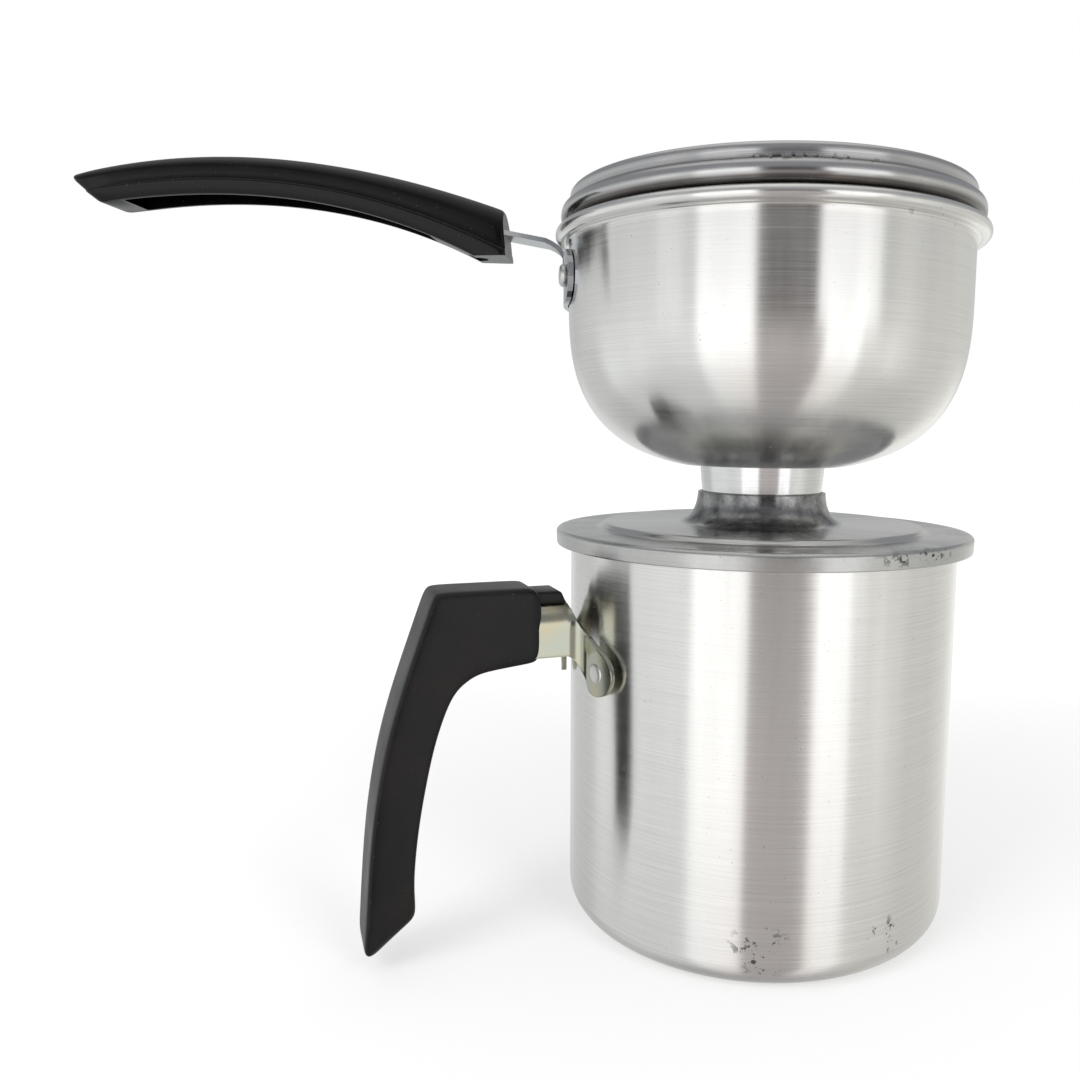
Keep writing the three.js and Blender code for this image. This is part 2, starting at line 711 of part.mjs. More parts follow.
// The strap's straight run as an outline, grown by a margin.
function strapRun(from, to, margin) {
  const under = STRAP_SHEET + margin;
  return [
    [from, strapHeight(under, from)],
    [to, strapHeight(under, to)],
    [to, strapHeight(-margin, to)],
    [from, strapHeight(-margin, from)],
  ];
}

// The side outline of the bent strap: up the bowl's wall, out round its bead and along to the tang.
function strapOutline() {
  const knee = [
    bendStart[0] + STRAP_BEND_LEAN_SHARE * STRAP_BEND_REACH,
    bendStart[1] + STRAP_BEND_KNEE_SHARE * STRAP_BEND_HEIGHT,
  ];
  const upper = [
    [strapInside, bowlRivetHeight],
    ...quadratic(bendStart, knee, bendEnd),
    [tangEnd, strapHeight(0, tangEnd)],
  ];
  const lower = upper.map(([across, up], i) => {
    const before = upper[Math.max(0, i - 1)];
    const after = upper[Math.min(upper.length - 1, i + 1)];
    const heading = Math.atan2(after[1] - before[1], after[0] - before[0]);
    return [across + STRAP_SHEET * Math.sin(heading), up - STRAP_SHEET * Math.cos(heading)];
  });
  return [...lower, ...upper.reverse()];
}

function bowlStrap() {
  const half = STRAP_PLATE_WIDTH / 2 - STRAP_PLATE_CORNER;
  const outline = [
    ...arc([half, plateLow + STRAP_PLATE_CORNER], STRAP_PLATE_CORNER, -Math.PI / 2, 0),
    ...arc([half, plateHigh - STRAP_PLATE_CORNER], STRAP_PLATE_CORNER, 0, Math.PI / 2),
    ...arc([-half, plateHigh - STRAP_PLATE_CORNER], STRAP_PLATE_CORNER, Math.PI / 2, Math.PI),
    ...arc([-half, plateLow + STRAP_PLATE_CORNER], STRAP_PLATE_CORNER, Math.PI, 1.5 * Math.PI),
  ];
  const ring = turned([
    [strapInside, plateLow],
    [strapOutside, plateLow],
    [strapOutside, plateHigh],
    [strapInside, plateHigh],
  ], 2 * ROUND_SEGMENTS);
  const plate = common(ring, bar(outline, BOWL_RADIUS / 2, strapOutside + OVERCUT));
  return cut(
    joined(plate, slab(strapOutline(), STRAP_WIDTH)),
    screwHole(handleScrewSeat, handleScrewTip, handleScrewAt),
    rivetHole(strapOutside, bowlRivetAngle, bowlRivetHeight),
    rivetHole(strapOutside, -bowlRivetAngle, bowlRivetHeight),
  );
}

// The two long edges of the handle's side, its crown and its open underside.
// Both run from 0 at the strap to 1 at the tip.
function handleCrown(t) {
  const start = [handleRoot + HANDLE_END_LEAN, handleHigh];
  const control = [handleRoot + HANDLE_CROWN_PEAK_SHARE * HANDLE_LENGTH, handleHigh + HANDLE_CROWN_ARCH];
  return quadraticAt(start, control, [handleTip, handleHigh + HANDLE_TIP_RISE], t);
}

function handleUnderside(t) {
  const control = [handleRoot + HANDLE_UNDER_PEAK_SHARE * HANDLE_LENGTH, handleLow + HANDLE_UNDER_ARCH];
  const end = [handleTip - HANDLE_TIP_SLANT, handleHigh + HANDLE_TIP_RISE - HANDLE_TIP_HEIGHT];
  return quadraticAt([handleRoot, handleLow], control, end, t);
}

function handleHalfWidth(t) {
  const width = THREE.MathUtils.lerp(HANDLE_WIDTH_INNER, HANDLE_WIDTH_TIP, t);
  const nose = Math.max(0, (t - HANDLE_HOLLOW_END_SHARE) / (1 - HANDLE_HOLLOW_END_SHARE));
  return (width / 2) * (1 - HANDLE_TIP_NARROWING_SHARE * nose * nose);
}

// A ring across the handle from points [side, rise].
// The side is in millimetres, and the rise runs from 0 underneath to 1 on the crown.
function handleRing(t, points) {
  const low = handleUnderside(t);
  const high = handleCrown(t);
  return points.map(([side, rise]) => [
    THREE.MathUtils.lerp(low[0], high[0], rise),
    side,
    THREE.MathUtils.lerp(low[1], high[1], rise),
  ]);
}

function handleSection(t) {
  const half = handleHalfWidth(t);
  const wall = half - HANDLE_RECESS;
  const ridge = 1 - HANDLE_BAND_SHARE;
  const step = HANDLE_RECESS / HANDLE_END_HEIGHT;
  const shoulder = 1 - HANDLE_CROWN_SHARE;
  const crown = arc([0, 0], 1, 0, Math.PI, 2 * ARC_STEPS)
    .map(([across, up]) => [across * half, shoulder + up * HANDLE_CROWN_SHARE]);
  return [
    [wall, 0],
    [wall, ridge],
    [half, ridge + step],
    ...crown,
    [-half, ridge + step],
    [-wall, ridge],
    [-wall, 0],
  ];
}

function hollowSection(t) {
  const half = handleHalfWidth(t) - HANDLE_RECESS - HANDLE_WALL;
  return [[half, -1], [half, HANDLE_HOLLOW_RISE_SHARE], [-half, HANDLE_HOLLOW_RISE_SHARE], [-half, -1]];
}

// Rings of a section at even steps along the handle.
function handleRings(section, from, to) {
  const rings = [];
  for (let i = 0; i <= HANDLE_STATIONS; i += 1) {
    const t = THREE.MathUtils.lerp(from, to, i / HANDLE_STATIONS);
    rings.push(handleRing(t, section(t)));
  }
  return rings;
}

function bowlHandle() {
  const belowFloor = block(
    [BOWL_RADIUS, -HANDLE_WIDTH_INNER, handleLow - OVERCUT],
    [handleScrewAt + HANDLE_SCREW_INSET, HANDLE_WIDTH_INNER, handleLow + HANDLE_FLOOR_RISE],
  );
  return cut(
    loft(handleRings(handleSection, 0, 1)),
    belowFloor,
    loft(handleRings(hollowSection, HANDLE_HOLLOW_START_SHARE, HANDLE_HOLLOW_END_SHARE)),
    slab(strapRun(BOWL_RADIUS, tangEnd + SEAT_GAP, SEAT_GAP), STRAP_WIDTH + 2 * SEAT_GAP),
    screwRecess(handleLow, handleScrewSeat, handleScrewAt),
    screwHole(handleLow, handleScrewTip + HOLE_CLEARANCE, handleScrewAt),
  );
}

function bowlHandleScrew() {
  return screw(handleScrewSeat - SEAT_GAP, handleScrewTip, handleScrewAt);
}

// Lid

function lidShell() {
  const drumLow = lidSeat + LID_FLANGE_HEIGHT;
  const drumOutside = BOWL_RADIUS - LID_DRUM_INSET;
  const drumInside = drumOutside - LID_SHEET;
  const flange = BOWL_RADIUS + LID_FLANGE_OVERLAP;
  const panel = drumOutside - LID_RIM_WIDTH;
  const lipOutside = bowlInside - 2 * SEAT_GAP;
  const lipInside = lipOutside - LID_SHEET;
  const lipLow = lidSeat - LID_LIP_DEPTH;
  const topUnder = lidTop - LID_SHEET;
  const panelStep = panel + LID_PANEL_DROP;
  const shell = turned([
    [0, lidPanelTop],
    [panel, lidPanelTop],
    [panelStep, lidTop],
    [drumInside, lidTop],
    [drumOutside, topUnder],
    ...quadratic([drumOutside, drumLow], [flange, drumLow], [flange, lidSeat + LID_SHEET]),
    [flange - LID_SHEET / 2, lidSeat],
    [lipOutside, lidSeat],
    [lipOutside, lipLow],
    [lipInside, lipLow],
    [lipInside, drumLow - LID_SHEET],
    [drumInside, drumLow],
    [drumInside, topUnder],
    [panelStep, topUnder],
    [panel, lidPanelTop - LID_SHEET],
    [0, lidPanelTop - LID_SHEET],
  ]);
  return cut(shell, screwHole(lidSeat, lidTop + OVERCUT, 0));
}

function lidKnob() {
  const waist = KNOB_FOOT_RADIUS - KNOB_WAIST_INSET;
  const cap = lidPanelTop + KNOB_HEIGHT;
  const brim = lidPanelTop + KNOB_HEIGHT / 2;
  const knob = turned([
    [0, lidPanelTop],
    [KNOB_FOOT_RADIUS, lidPanelTop],
    ...quadratic([waist, lidPanelTop + KNOB_HEIGHT / 6], [waist, brim], [KNOB_RADIUS, brim]),
    ...quadratic([KNOB_RADIUS, brim + KNOB_HEIGHT / 8], [KNOB_RADIUS, cap], [0, cap]),
  ], 2 * SMALL_SEGMENTS);
  return cut(knob, screwHole(lidPanelTop - OVERCUT, lidPanelTop + KNOB_SCREW_DEPTH + HOLE_CLEARANCE, 0));
}

function knobScrew() {
  const seat = lidPanelTop - LID_SHEET - KNOB_WASHER_SHEET;
  return screw(seat, lidPanelTop + KNOB_SCREW_DEPTH, 0);
}

function knobWasher() {
  const high = lidPanelTop - LID_SHEET;
  const disc = cylinder(KNOB_WASHER_RADIUS, high - KNOB_WASHER_SHEET, high);
  return cut(disc, screwHole(high - OVERCUT, high + OVERCUT, 0));
}

// Assembly: the pot's grip points along -X, and the bowl is turned from it by its own angle.
const pot = new THREE.Group();
pot.rotation.z = Math.PI;
addPart(pot, 'pot_shell', potShell(), aluminium);
addPart(pot, 'pot_handle_bracket', potBracket(), platedSteel);
addPart(pot, 'pot_rivet_front', potRivet(1), aluminium);
addPart(pot, 'pot_rivet_rear', potRivet(-1), aluminium);
addPart(pot, 'pot_handle_grip', potGrip(), bakelite);
addPart(pot, 'pot_handle_screw', potGripScrew(), platedSteel);

const cover = new THREE.Group();
addPart(cover, 'cover_plate', coverPlate(), aluminium);

const bowl = new THREE.Group();
bowl.rotation.z = Math.PI - BOWL_TURN;
addPart(bowl, 'bowl_shell', bowlShell(), aluminium);
addPart(bowl, 'bowl_neck', bowlNeck(), polished);
addPart(bowl, 'bowl_handle_strap', bowlStrap(), platedSteel);
addPart(bowl, 'bowl_rivet_front', bowlRivet(1), aluminium);
addPart(bowl, 'bowl_rivet_rear', bowlRivet(-1), aluminium);
addPart(bowl, 'bowl_handle_grip', bowlHandle(), bakelite);
addPart(bowl, 'bowl_handle_screw', bowlHandleScrew(), platedSteel);
addPart(bowl, 'steam_grid', steamGrid(), aluminium);

const lid = new THREE.Group();
addPart(lid, 'lid_shell', lidShell(), aluminium);
addPart(lid, 'lid_knob', lidKnob(), bakelite);
addPart(lid, 'lid_knob_screw', knobScrew(), platedSteel);
addPart(lid, 'lid_knob_washer', knobWasher(), platedSteel);

const steamer = new THREE.Group();
steamer.add(pot, cover, bowl, lid);

export default steamer;
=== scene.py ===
import math

import bmesh
import bpy
from mathutils import Matrix, Vector


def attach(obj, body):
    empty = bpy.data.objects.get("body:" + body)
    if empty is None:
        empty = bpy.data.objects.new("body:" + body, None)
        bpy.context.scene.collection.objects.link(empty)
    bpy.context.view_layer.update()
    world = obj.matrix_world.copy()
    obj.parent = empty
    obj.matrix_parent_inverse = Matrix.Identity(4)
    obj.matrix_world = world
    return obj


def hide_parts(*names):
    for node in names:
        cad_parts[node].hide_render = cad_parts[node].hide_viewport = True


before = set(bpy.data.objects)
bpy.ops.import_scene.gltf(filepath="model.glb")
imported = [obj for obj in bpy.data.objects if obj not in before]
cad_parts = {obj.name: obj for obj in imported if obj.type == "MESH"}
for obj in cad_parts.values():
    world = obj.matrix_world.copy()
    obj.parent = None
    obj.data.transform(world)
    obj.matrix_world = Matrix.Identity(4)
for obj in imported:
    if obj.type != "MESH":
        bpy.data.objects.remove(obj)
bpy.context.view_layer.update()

MM = 0.001
TAU = 2 * math.pi
POT_TURN = math.pi
BOWL_TURN = math.radians(156)
SHARP_DEGREES = 38


# Curves and outlines, in millimetres

def arc(centre, radius, start, end, steps):
    """Points on a circular arc, angles in degrees, both ends included."""
    points = []
    for i in range(steps + 1):
        angle = math.radians(start + (end - start) * i / steps)
        points.append((centre[0] + radius * math.cos(angle), centre[1] + radius * math.sin(angle)))
    return points


def quadratic(start, control, end, t):
    """The point of a quadratic curve at a share of its length."""
    a, b, c = (1 - t) ** 2, 2 * t * (1 - t), t * t
    return tuple(a * s + b * m + c * e for s, m, e in zip(start, control, end))


def bezier(start, control, end, steps):
    """Points on a quadratic curve, both ends included."""
    return [quadratic(start, control, end, i / steps) for i in range(steps + 1)]


def filleted(corners, steps=5):
    """A path through (r, z, radius) corners, with each corner turned round by its radius."""
    path = []
    for i, (r, z, radius) in enumerate(corners):
        here = Vector((r, z))
        if radius <= 0 or i in (0, len(corners) - 1):
            path.append((r, z))
            continue
        before = Vector(corners[i - 1][:2]) - here
        after = Vector(corners[i + 1][:2]) - here
        reach = min(radius, 0.49 * before.length, 0.49 * after.length)
        first = here + before.normalized() * reach
        last = here + after.normalized() * reach
        path += bezier(tuple(first), (r, z), tuple(last), steps)
    return path


# Meshes

def linked(name, mesh_data):
    """A scene object from a bmesh, which is used up."""
    mesh = bpy.data.meshes.new(name)
    mesh_data.to_mesh(mesh)
    mesh_data.free()
    made = bpy.data.objects.new(name, mesh)
    bpy.context.scene.collection.objects.link(made)
    return made


def set_sharp(mesh_data, degrees):
    """Sets a bmesh smooth except along edges that turn by more than an angle."""
    limit = math.radians(degrees)
    for face in mesh_data.faces:
        face.smooth = True
    for edge in mesh_data.edges:
        turn = edge.calc_face_angle(0) if len(edge.link_faces) == 2 else 0
        edge.smooth = turn <= limit


def finish_mesh(name, mesh_data, sharp_degrees=SHARP_DEGREES):
    """An object from a bmesh, smooth except along its sharp edges."""
    bmesh.ops.recalc_face_normals(mesh_data, faces=mesh_data.faces)
    set_sharp(mesh_data, sharp_degrees)
    return linked(name, mesh_data)


def lathe(name, profile, segments=192):
    """A closed round piece about Z from a loop of (r, z) points in millimetres."""
    made = bmesh.new()
    rings = []
    for r, z in profile:
        if r < 1e-6:
            rings.append([made.verts.new((0, 0, z * MM))])
            continue
        ring = []
        for k in range(segments):
            angle = TAU * k / segments
            x, y = r * MM * math.cos(angle), r * MM * math.sin(angle)
            ring.append(made.verts.new((x, y, z * MM)))
        rings.append(ring)
    for i, ring in enumerate(rings):
        other = rings[(i + 1) % len(rings)]
        if len(ring) == 1 and len(other) == 1:
            continue
        for k in range(segments):
            n = (k + 1) % segments
            if len(ring) == 1:
                made.faces.new((ring[0], other[n], other[k]))
            elif len(other) == 1:
                made.faces.new((ring[k], ring[n], other[0]))
            else:
                made.faces.new((ring[k], ring[n], other[n], other[k]))
    return finish_mesh(name, made)


def loft(rings):
    """Skins equal rings of points in metres, and closes both ends."""
    made = bmesh.new()
    rows = [[made.verts.new(point) for point in ring] for ring in rings]
    count = len(rows[0])
    for low, high in zip(rows, rows[1:]):
        for k in range(count):
            n = (k + 1) % count
            made.faces.new((low[k], low[n], high[n], high[k]))
    made.faces.new(list(reversed(rows[0])))
    made.faces.new(rows[-1])
    return made


def bevelled_block(name, outline, half_width, rounding):
    """A closed block from an outline of (u, z) points with rounded edges."""
    made = bmesh.new()
    near = [made.verts.new((u * MM, -half_width * MM, z * MM)) for u, z in outline]
    far = [made.verts.new((u * MM, half_width * MM, z * MM)) for u, z in outline]
    made.faces.new(near)
    made.faces.new(list(reversed(far)))
    for k in range(len(outline)):
        n = (k + 1) % len(outline)
        made.faces.new((near[n], near[k], far[k], far[n]))
    bmesh.ops.bevel(made, geom=made.edges[:], offset=rounding * MM, segments=3, profile=0.5,
                    affect="EDGES")
    return finish_mesh(name, made, 50)


def applied(target, modifier_type, **settings):
    """Adds a modifier to a piece and makes its result the piece's mesh."""
    modifier = target.modifiers.new(modifier_type.lower(), modifier_type)
    for key, value in settings.items():
        setattr(modifier, key, value)
    graph = bpy.context.evaluated_depsgraph_get()
    graph.update()
    mesh = bpy.data.meshes.new_from_object(target.evaluated_get(graph))
    target.modifiers.clear()
    old = target.data
    target.data = mesh
    mesh.name = target.name
    bpy.data.meshes.remove(old)


def cut_away(target, tool):
    """Takes one closed piece out of another, and removes the tool."""
    applied(target, "BOOLEAN", operation="DIFFERENCE", object=tool, solver="EXACT")
    bpy.data.objects.remove(tool, do_unlink=True)


def drill(target, radius, low, high, u):
    """Takes an upright round hole out of a piece that is drawn along +X."""
    tool = lathe("drill", [(0, low), (radius, low), (radius, high), (0, high)], 48)
    tool.data.transform(Matrix.Translation((u * MM, 0, 0)))
    cut_away(target, tool)


def resharpen(target, degrees):
    """Sets a piece smooth except along edges that turn by more than an angle."""
    made = bmesh.new()
    made.from_mesh(target.data)
    set_sharp(made, degrees)
    made.to_mesh(target.data)
    made.free()


def turned(target, angle):
    """Turns a piece's mesh about the upright axis."""
    target.data.transform(Matrix.Rotation(angle, 4, "Z"))


# Node trees

def opaque(colour, share=1.0):
    """A colour with full alpha, made lighter or darker by a share."""
    return tuple(min(1.0, share * part) for part in colour) + (1.0,)


class Nodes:
    """Short calls for building the node tree of a material or a world."""

    def __init__(self, owner):
        owner.use_nodes = True
        self.owner = owner
        self.tree = owner.node_tree

    @property
    def shader(self):
        return self.tree.nodes["Principled BSDF"]

    def add(self, kind, **settings):
        node = self.tree.nodes.new(kind)
        for key, value in settings.items():
            setattr(node, key, value)
        return node

    def join(self, value, socket):
        if isinstance(value, bpy.types.NodeSocket):
            self.tree.links.new(value, socket)
        else:
            socket.default_value = value

    def surface(self, values):
        for name, value in values.items():
            self.join(value, self.shader.inputs[name])

    def math(self, operation, a, b):
        node = self.add("ShaderNodeMath", operation=operation)
        self.join(a, node.inputs[0])
        self.join(b, node.inputs[1])
        return node.outputs[0]

    def times(self, a, b):
        return self.math("MULTIPLY", a, b)

    def plus(self, a, b):
        return self.math("ADD", a, b)

    def vector(self, operation, a, b):
        node = self.add("ShaderNodeVectorMath", operation=operation)
        self.join(a, node.inputs[0])
        self.join(b, node.inputs[1])
        return node.outputs["Value"] if operation in ("LENGTH", "DISTANCE") else node.outputs[0]

    def combine(self, x, y, z):
        node = self.add("ShaderNodeCombineXYZ")
        for value, socket in zip((x, y, z), node.inputs):
            self.join(value, socket)
        return node.outputs[0]

    def split(self, vector):
        node = self.add("ShaderNodeSeparateXYZ")
        self.join(vector, node.inputs[0])
        return tuple(node.outputs)

    def noise(self, vector, scale, detail, roughness):
        node = self.add("ShaderNodeTexNoise")
        self.join(vector, node.inputs["Vector"])
        node.inputs["Scale"].default_value = scale
        node.inputs["Detail"].default_value = detail
        node.inputs["Roughness"].default_value = roughness
        return node.outputs["Fac"]

    def ramp(self, value, low, high, out_low=0.0, out_high=1.0):
        node = self.add("ShaderNodeMapRange", clamp=True)
        self.join(value, node.inputs["Value"])
        node.inputs["From Min"].default_value = low
        node.inputs["From Max"].default_value = high
        node.inputs["To Min"].default_value = out_low
        node.inputs["To Max"].default_value = out_high
        return node.outputs["Result"]

    def mix(self, share, a, b):
        node = self.add("ShaderNodeMix", data_type="RGBA")
        self.join(share, node.inputs["Factor"])
        self.join(a, node.inputs[6])
        self.join(b, node.inputs[7])
        return node.outputs[2]

    def place(self):
        return self.add("ShaderNodeTexCoord").outputs["Object"]

    def bump(self, height, strength, distance):
        node = self.add("ShaderNodeBump")
        node.inputs["Strength"].default_value = strength
        node.inputs["Distance"].default_value = distance
        self.join(height, node.inputs["Height"])
        self.tree.links.new(node.outputs["Normal"], self.shader.inputs["Normal"])


# Materials. Brushed rings are (turns round the axis, lines to a metre); noises are
# (scale, detail, roughness); edges and places are in metres.
FINE_RINGS, FINE_SHARE = (2.6, 4800.0), 0.68
BROAD_RINGS, BROAD_SHARE = (1.1, 1500.0), 0.32
LINE_NOISE = (1.0, 1.0, 0.65)
LINE_RANGE = (0.3, 0.7)
BLOTCH_NOISE = (26.0, 4.0, 0.6)
SHIFT_NOISE = (9.0, 2.0, 0.5)
SPECK_NOISE = (520.0, 3.0, 0.7)
SMEAR_NOISE = (130.0, 3.0, 0.6)
DIRT_NOISE = (900.0, 2.0, 0.6)
BUMP_DEPTH = 0.00012
MARK_EDGE = 0.002
WARM_BLOTCH = (0.95, 0.925, 0.905)
MOTTLED_SHADE_GREY = (0.10, 0.10, 0.11)
GRIME_AND_SHADE_BROWN = (0.075, 0.062, 0.055)
GRIME_BLACK = (0.05, 0.045, 0.04)
PLATED_GRAIN = (0.42, 0.43, 0.40)
PHENOLIC_BLACK = (0.006, 0.006, 0.0065)
PHENOLIC_BROWN = (0.014, 0.0115, 0.011)
DUST_GREY = (0.12, 0.12, 0.12)


def around_axis(nodes):
    """Places on a turned piece: direction round the axis, radius and height."""
    place = nodes.place()
    x, y, z = nodes.split(place)
    radius = nodes.vector("LENGTH", nodes.combine(x, y, 0.0), (0, 0, 0))
    inverse = nodes.math("DIVIDE", 1.0, nodes.math("MAXIMUM", radius, 1e-4))
    return place, nodes.times(x, inverse), nodes.times(y, inverse), radius, z


def spun_metal(name, colour, roughness, line_depth, anisotropy,
               scuffs=(), dirt=0.0, mottled_shade_bands=(), grime_and_shade_bands=()):
    """Turned sheet metal with fine rings of brushing and faint warm blotches.

    scuffs are (place, reach, density) patches of dark specks, and dirt is the strength of rare
    specks all over. mottled_shade_bands are (inner radius, outer radius, noise scale, relief,
    darkening, dulling) bands with a mottled face, whose colour is darkened as painted shade for
    dark reflections. grime_and_shade_bands are (low, high, fade, amount) bands in height painted
    dark brown: grime in the joints and painted shade on faces that turn down.
    """
    nodes = Nodes(bpy.data.materials.new(name))
    place, east, north, radius, height = around_axis(nodes)
    along = nodes.plus(height, radius)
    across = nodes.math("SUBTRACT", height, radius)

    def rings(turn, pitch):
        vector = nodes.combine(
            nodes.times(east, turn), nodes.times(north, turn), nodes.times(along, pitch))
        return nodes.noise(vector, *LINE_NOISE)

    fine = nodes.times(rings(*FINE_RINGS), FINE_SHARE)
    lines = nodes.plus(fine, nodes.times(rings(*BROAD_RINGS), BROAD_SHARE))
    blotch = nodes.noise(place, *BLOTCH_NOISE)
    shift = nodes.noise(nodes.combine(across, east, north), *SHIFT_NOISE)

    relief = lines
    tint = nodes.mix(nodes.ramp(lines, *LINE_RANGE), opaque(colour, 0.9), opaque(colour, 1.05))
    warm = opaque([part * share for part, share in zip(colour, WARM_BLOTCH)])
    tint = nodes.mix(nodes.ramp(blotch, 0.5, 0.8, 0.0, 0.45), tint, warm)
    rough = nodes.ramp(lines, *LINE_RANGE, roughness * 0.85, roughness * 1.15)
    rough = nodes.plus(rough, nodes.ramp(shift, 0.35, 0.75, -0.02, 0.05))

    # Painted shade: each band darkens the colour towards a mottled grey for the dark reflections
    # there; the relief and dulling are the mottled face itself
    for low, high, scale, height_share, darkening, dulled in mottled_shade_bands:
        band = nodes.times(nodes.ramp(radius, low, low + MARK_EDGE),
                           nodes.ramp(radius, high, high - MARK_EDGE))
        swirl = nodes.noise(place, scale, 3.0, 0.6)
        dark = nodes.ramp(swirl, 0.38, 0.64, darkening, darkening * 0.55)
        tint = nodes.mix(nodes.times(band, dark), tint, opaque(MOTTLED_SHADE_GREY))
        relief = nodes.plus(relief, nodes.times(band, nodes.times(swirl, height_share)))
        rough = nodes.plus(rough, nodes.times(band, dulled))

    # Grime and painted shade: each band in height darkens the colour towards brown, made ragged by
    # the blotch noise
    for low, high, fade, amount in grime_and_shade_bands:
        band = nodes.times(nodes.ramp(height, low - fade, low + fade),
                           nodes.ramp(height, high + fade, high - fade))
        ragged = nodes.ramp(blotch, 0.3, 0.7, amount * 0.75, amount)
        tint = nodes.mix(nodes.times(band, ragged), tint, opaque(GRIME_AND_SHADE_BROWN))

    patches = []
    if scuffs:
        flecks = nodes.times(nodes.noise(place, *SPECK_NOISE), nodes.noise(place, *SMEAR_NOISE))
    for spot, reach, density in scuffs:
        centre = tuple(s / r for s, r in zip(spot, reach))
        away = nodes.vector("DISTANCE", nodes.vector("DIVIDE", place, reach), centre)
        limit = 0.40 - 0.1 * density
        worn = nodes.ramp(flecks, limit, limit + 0.03, 0.0, 0.95)
        patches.append(nodes.times(nodes.ramp(away, 1.0, 0.25), worn))
    if dirt > 0:
        rare = nodes.ramp(nodes.noise(place, *DIRT_NOISE), 0.7, 0.76)
        patches.append(nodes.times(rare, dirt))
    if patches:
        grime = patches[0]
        for patch in patches[1:]:
            grime = nodes.math("MAXIMUM", grime, patch)
        tint = nodes.mix(grime, tint, opaque(GRIME_BLACK))
        rough = nodes.plus(rough, nodes.times(grime, 0.4))

    tangent = nodes.add("ShaderNodeTangent", direction_type="RADIAL", axis="Z")
    nodes.surface({
        "Base Color": tint,
        "Roughness": rough,
        "Metallic": 1.0,
        "Anisotropic": anisotropy,
        "Anisotropic Rotation": 0.25,
        "Tangent": tangent.outputs[0],
    })
    nodes.bump(relief, line_depth, BUMP_DEPTH)
    return nodes.owner


def plated_metal(name, clear, bloom):
    """Zinc-plated pressed steel: a clear tone with clouds of a second, bloomed one."""
    nodes = Nodes(bpy.data.materials.new(name))
    place = nodes.place()
    cloud = nodes.noise(place, 95.0, 3.0, 0.55)
    grain = nodes.noise(place, 1500.0, 2.0, 0.6)
    tint = nodes.mix(nodes.ramp(cloud, 0.35, 0.65), opaque(clear), opaque(bloom))
    tint = nodes.mix(nodes.ramp(grain, 0.62, 0.78, 0.0, 0.12), tint, opaque(PLATED_GRAIN))
    rough = nodes.ramp(cloud, 0.3, 0.7, 0.17, 0.27)
    nodes.surface({"Base Color": tint, "Roughness": rough, "Metallic": 1.0})
    relief = nodes.plus(nodes.times(cloud, 0.5), nodes.times(grain, 0.06))
    nodes.bump(relief, 0.12, 0.0004)
    return nodes.owner


def moulded(name, roughness, gloss, tone=1.0):
    """Black moulded phenolic: semi-gloss skin with fine grain and faint brown clouds."""
    nodes = Nodes(bpy.data.materials.new(name))
    place = nodes.place()
    cloud = nodes.noise(place, 60.0, 3.0, 0.55)
    grain = nodes.noise(place, 2600.0, 2.0, 0.6)
    dust = nodes.noise(place, 1500.0, 1.0, 0.5)
    black, brown = opaque(PHENOLIC_BLACK, tone), opaque(PHENOLIC_BROWN, tone)
    tint = nodes.mix(nodes.ramp(cloud, 0.4, 0.75), black, brown)
    tint = nodes.mix(nodes.ramp(dust, 0.72, 0.8, 0.0, 0.35), tint, opaque(DUST_GREY))
    spread = nodes.ramp(nodes.plus(cloud, nodes.times(grain, 0.4)), 0.4, 1.0)
    rough = nodes.ramp(spread, 0.0, 1.0, roughness * 0.8, roughness * 1.3)
    nodes.surface({"Base Color": tint, "Roughness": rough, "Specular IOR Level": gloss})
    nodes.bump(grain, 0.18, 0.00015)
    return nodes.owner


ALUMINIUM = (0.86, 0.855, 0.835)
POT_SCUFFS = (
    ((-0.0285, -0.0583, 0.0135), (0.011, 0.012, 0.010), 0.85),
    ((0.0102, -0.0642, 0.0136), (0.013, 0.010, 0.008), 0.85),
    ((-0.0568, -0.0315, 0.083), (0.006, 0.010, 0.003), 0.4),
)
COVER_SCUFFS = (((0.0140, -0.0684, 0.1292), (0.020, 0.014, 0.0028), 1.1),)
BOWL_SCUFFS = (((0.0208, -0.0651, 0.2243), (0.016, 0.012, 0.0018), 0.9),)
LID_SCUFFS = (((-0.024, -0.061, 0.2360), (0.036, 0.024, 0.0016), 0.9),)
# Cover bands: the chimney and the shoulder of the annulus are painted darker, as shade for the
# dark reflections they catch; the skirt is mottled, dulled and painted a little darker
COVER_MOTTLED_SHADE = (
    (0.0, 0.028, 190.0, 4.0, 0.88, 0.0),
    (0.0552, 0.0692, 60.0, 0.3, 0.42, 0.0),
    (0.0692, 0.09, 420.0, 2.5, 0.30, 0.22),
)
# Lid bands in height: the flange's lower half is painted dark as shade, and the joint between drum
# and flange is painted dark as grime and shade
LID_GRIME_AND_SHADE_BANDS = ((0.2285, 0.2316, 0.0007, 0.93), (0.2350, 0.2363, 0.0004, 0.75))
pot_metal = spun_metal("pot_aluminium", ALUMINIUM, 0.22, 0.07, 0.9, POT_SCUFFS, 0.25)
# The cover's aluminium is painted darker than the pot's, as shade for the dark gap and bowl bottom
# that it reflects
cover_metal = spun_metal(
    "cover_aluminium", (0.62, 0.62, 0.61), 0.22, 0.10, 0.5, COVER_SCUFFS, 0.3, mottled_shade_bands=COVER_MOTTLED_SHADE)
bowl_metal = spun_metal("bowl_aluminium", ALUMINIUM, 0.20, 0.07, 0.9, BOWL_SCUFFS, 0.25)
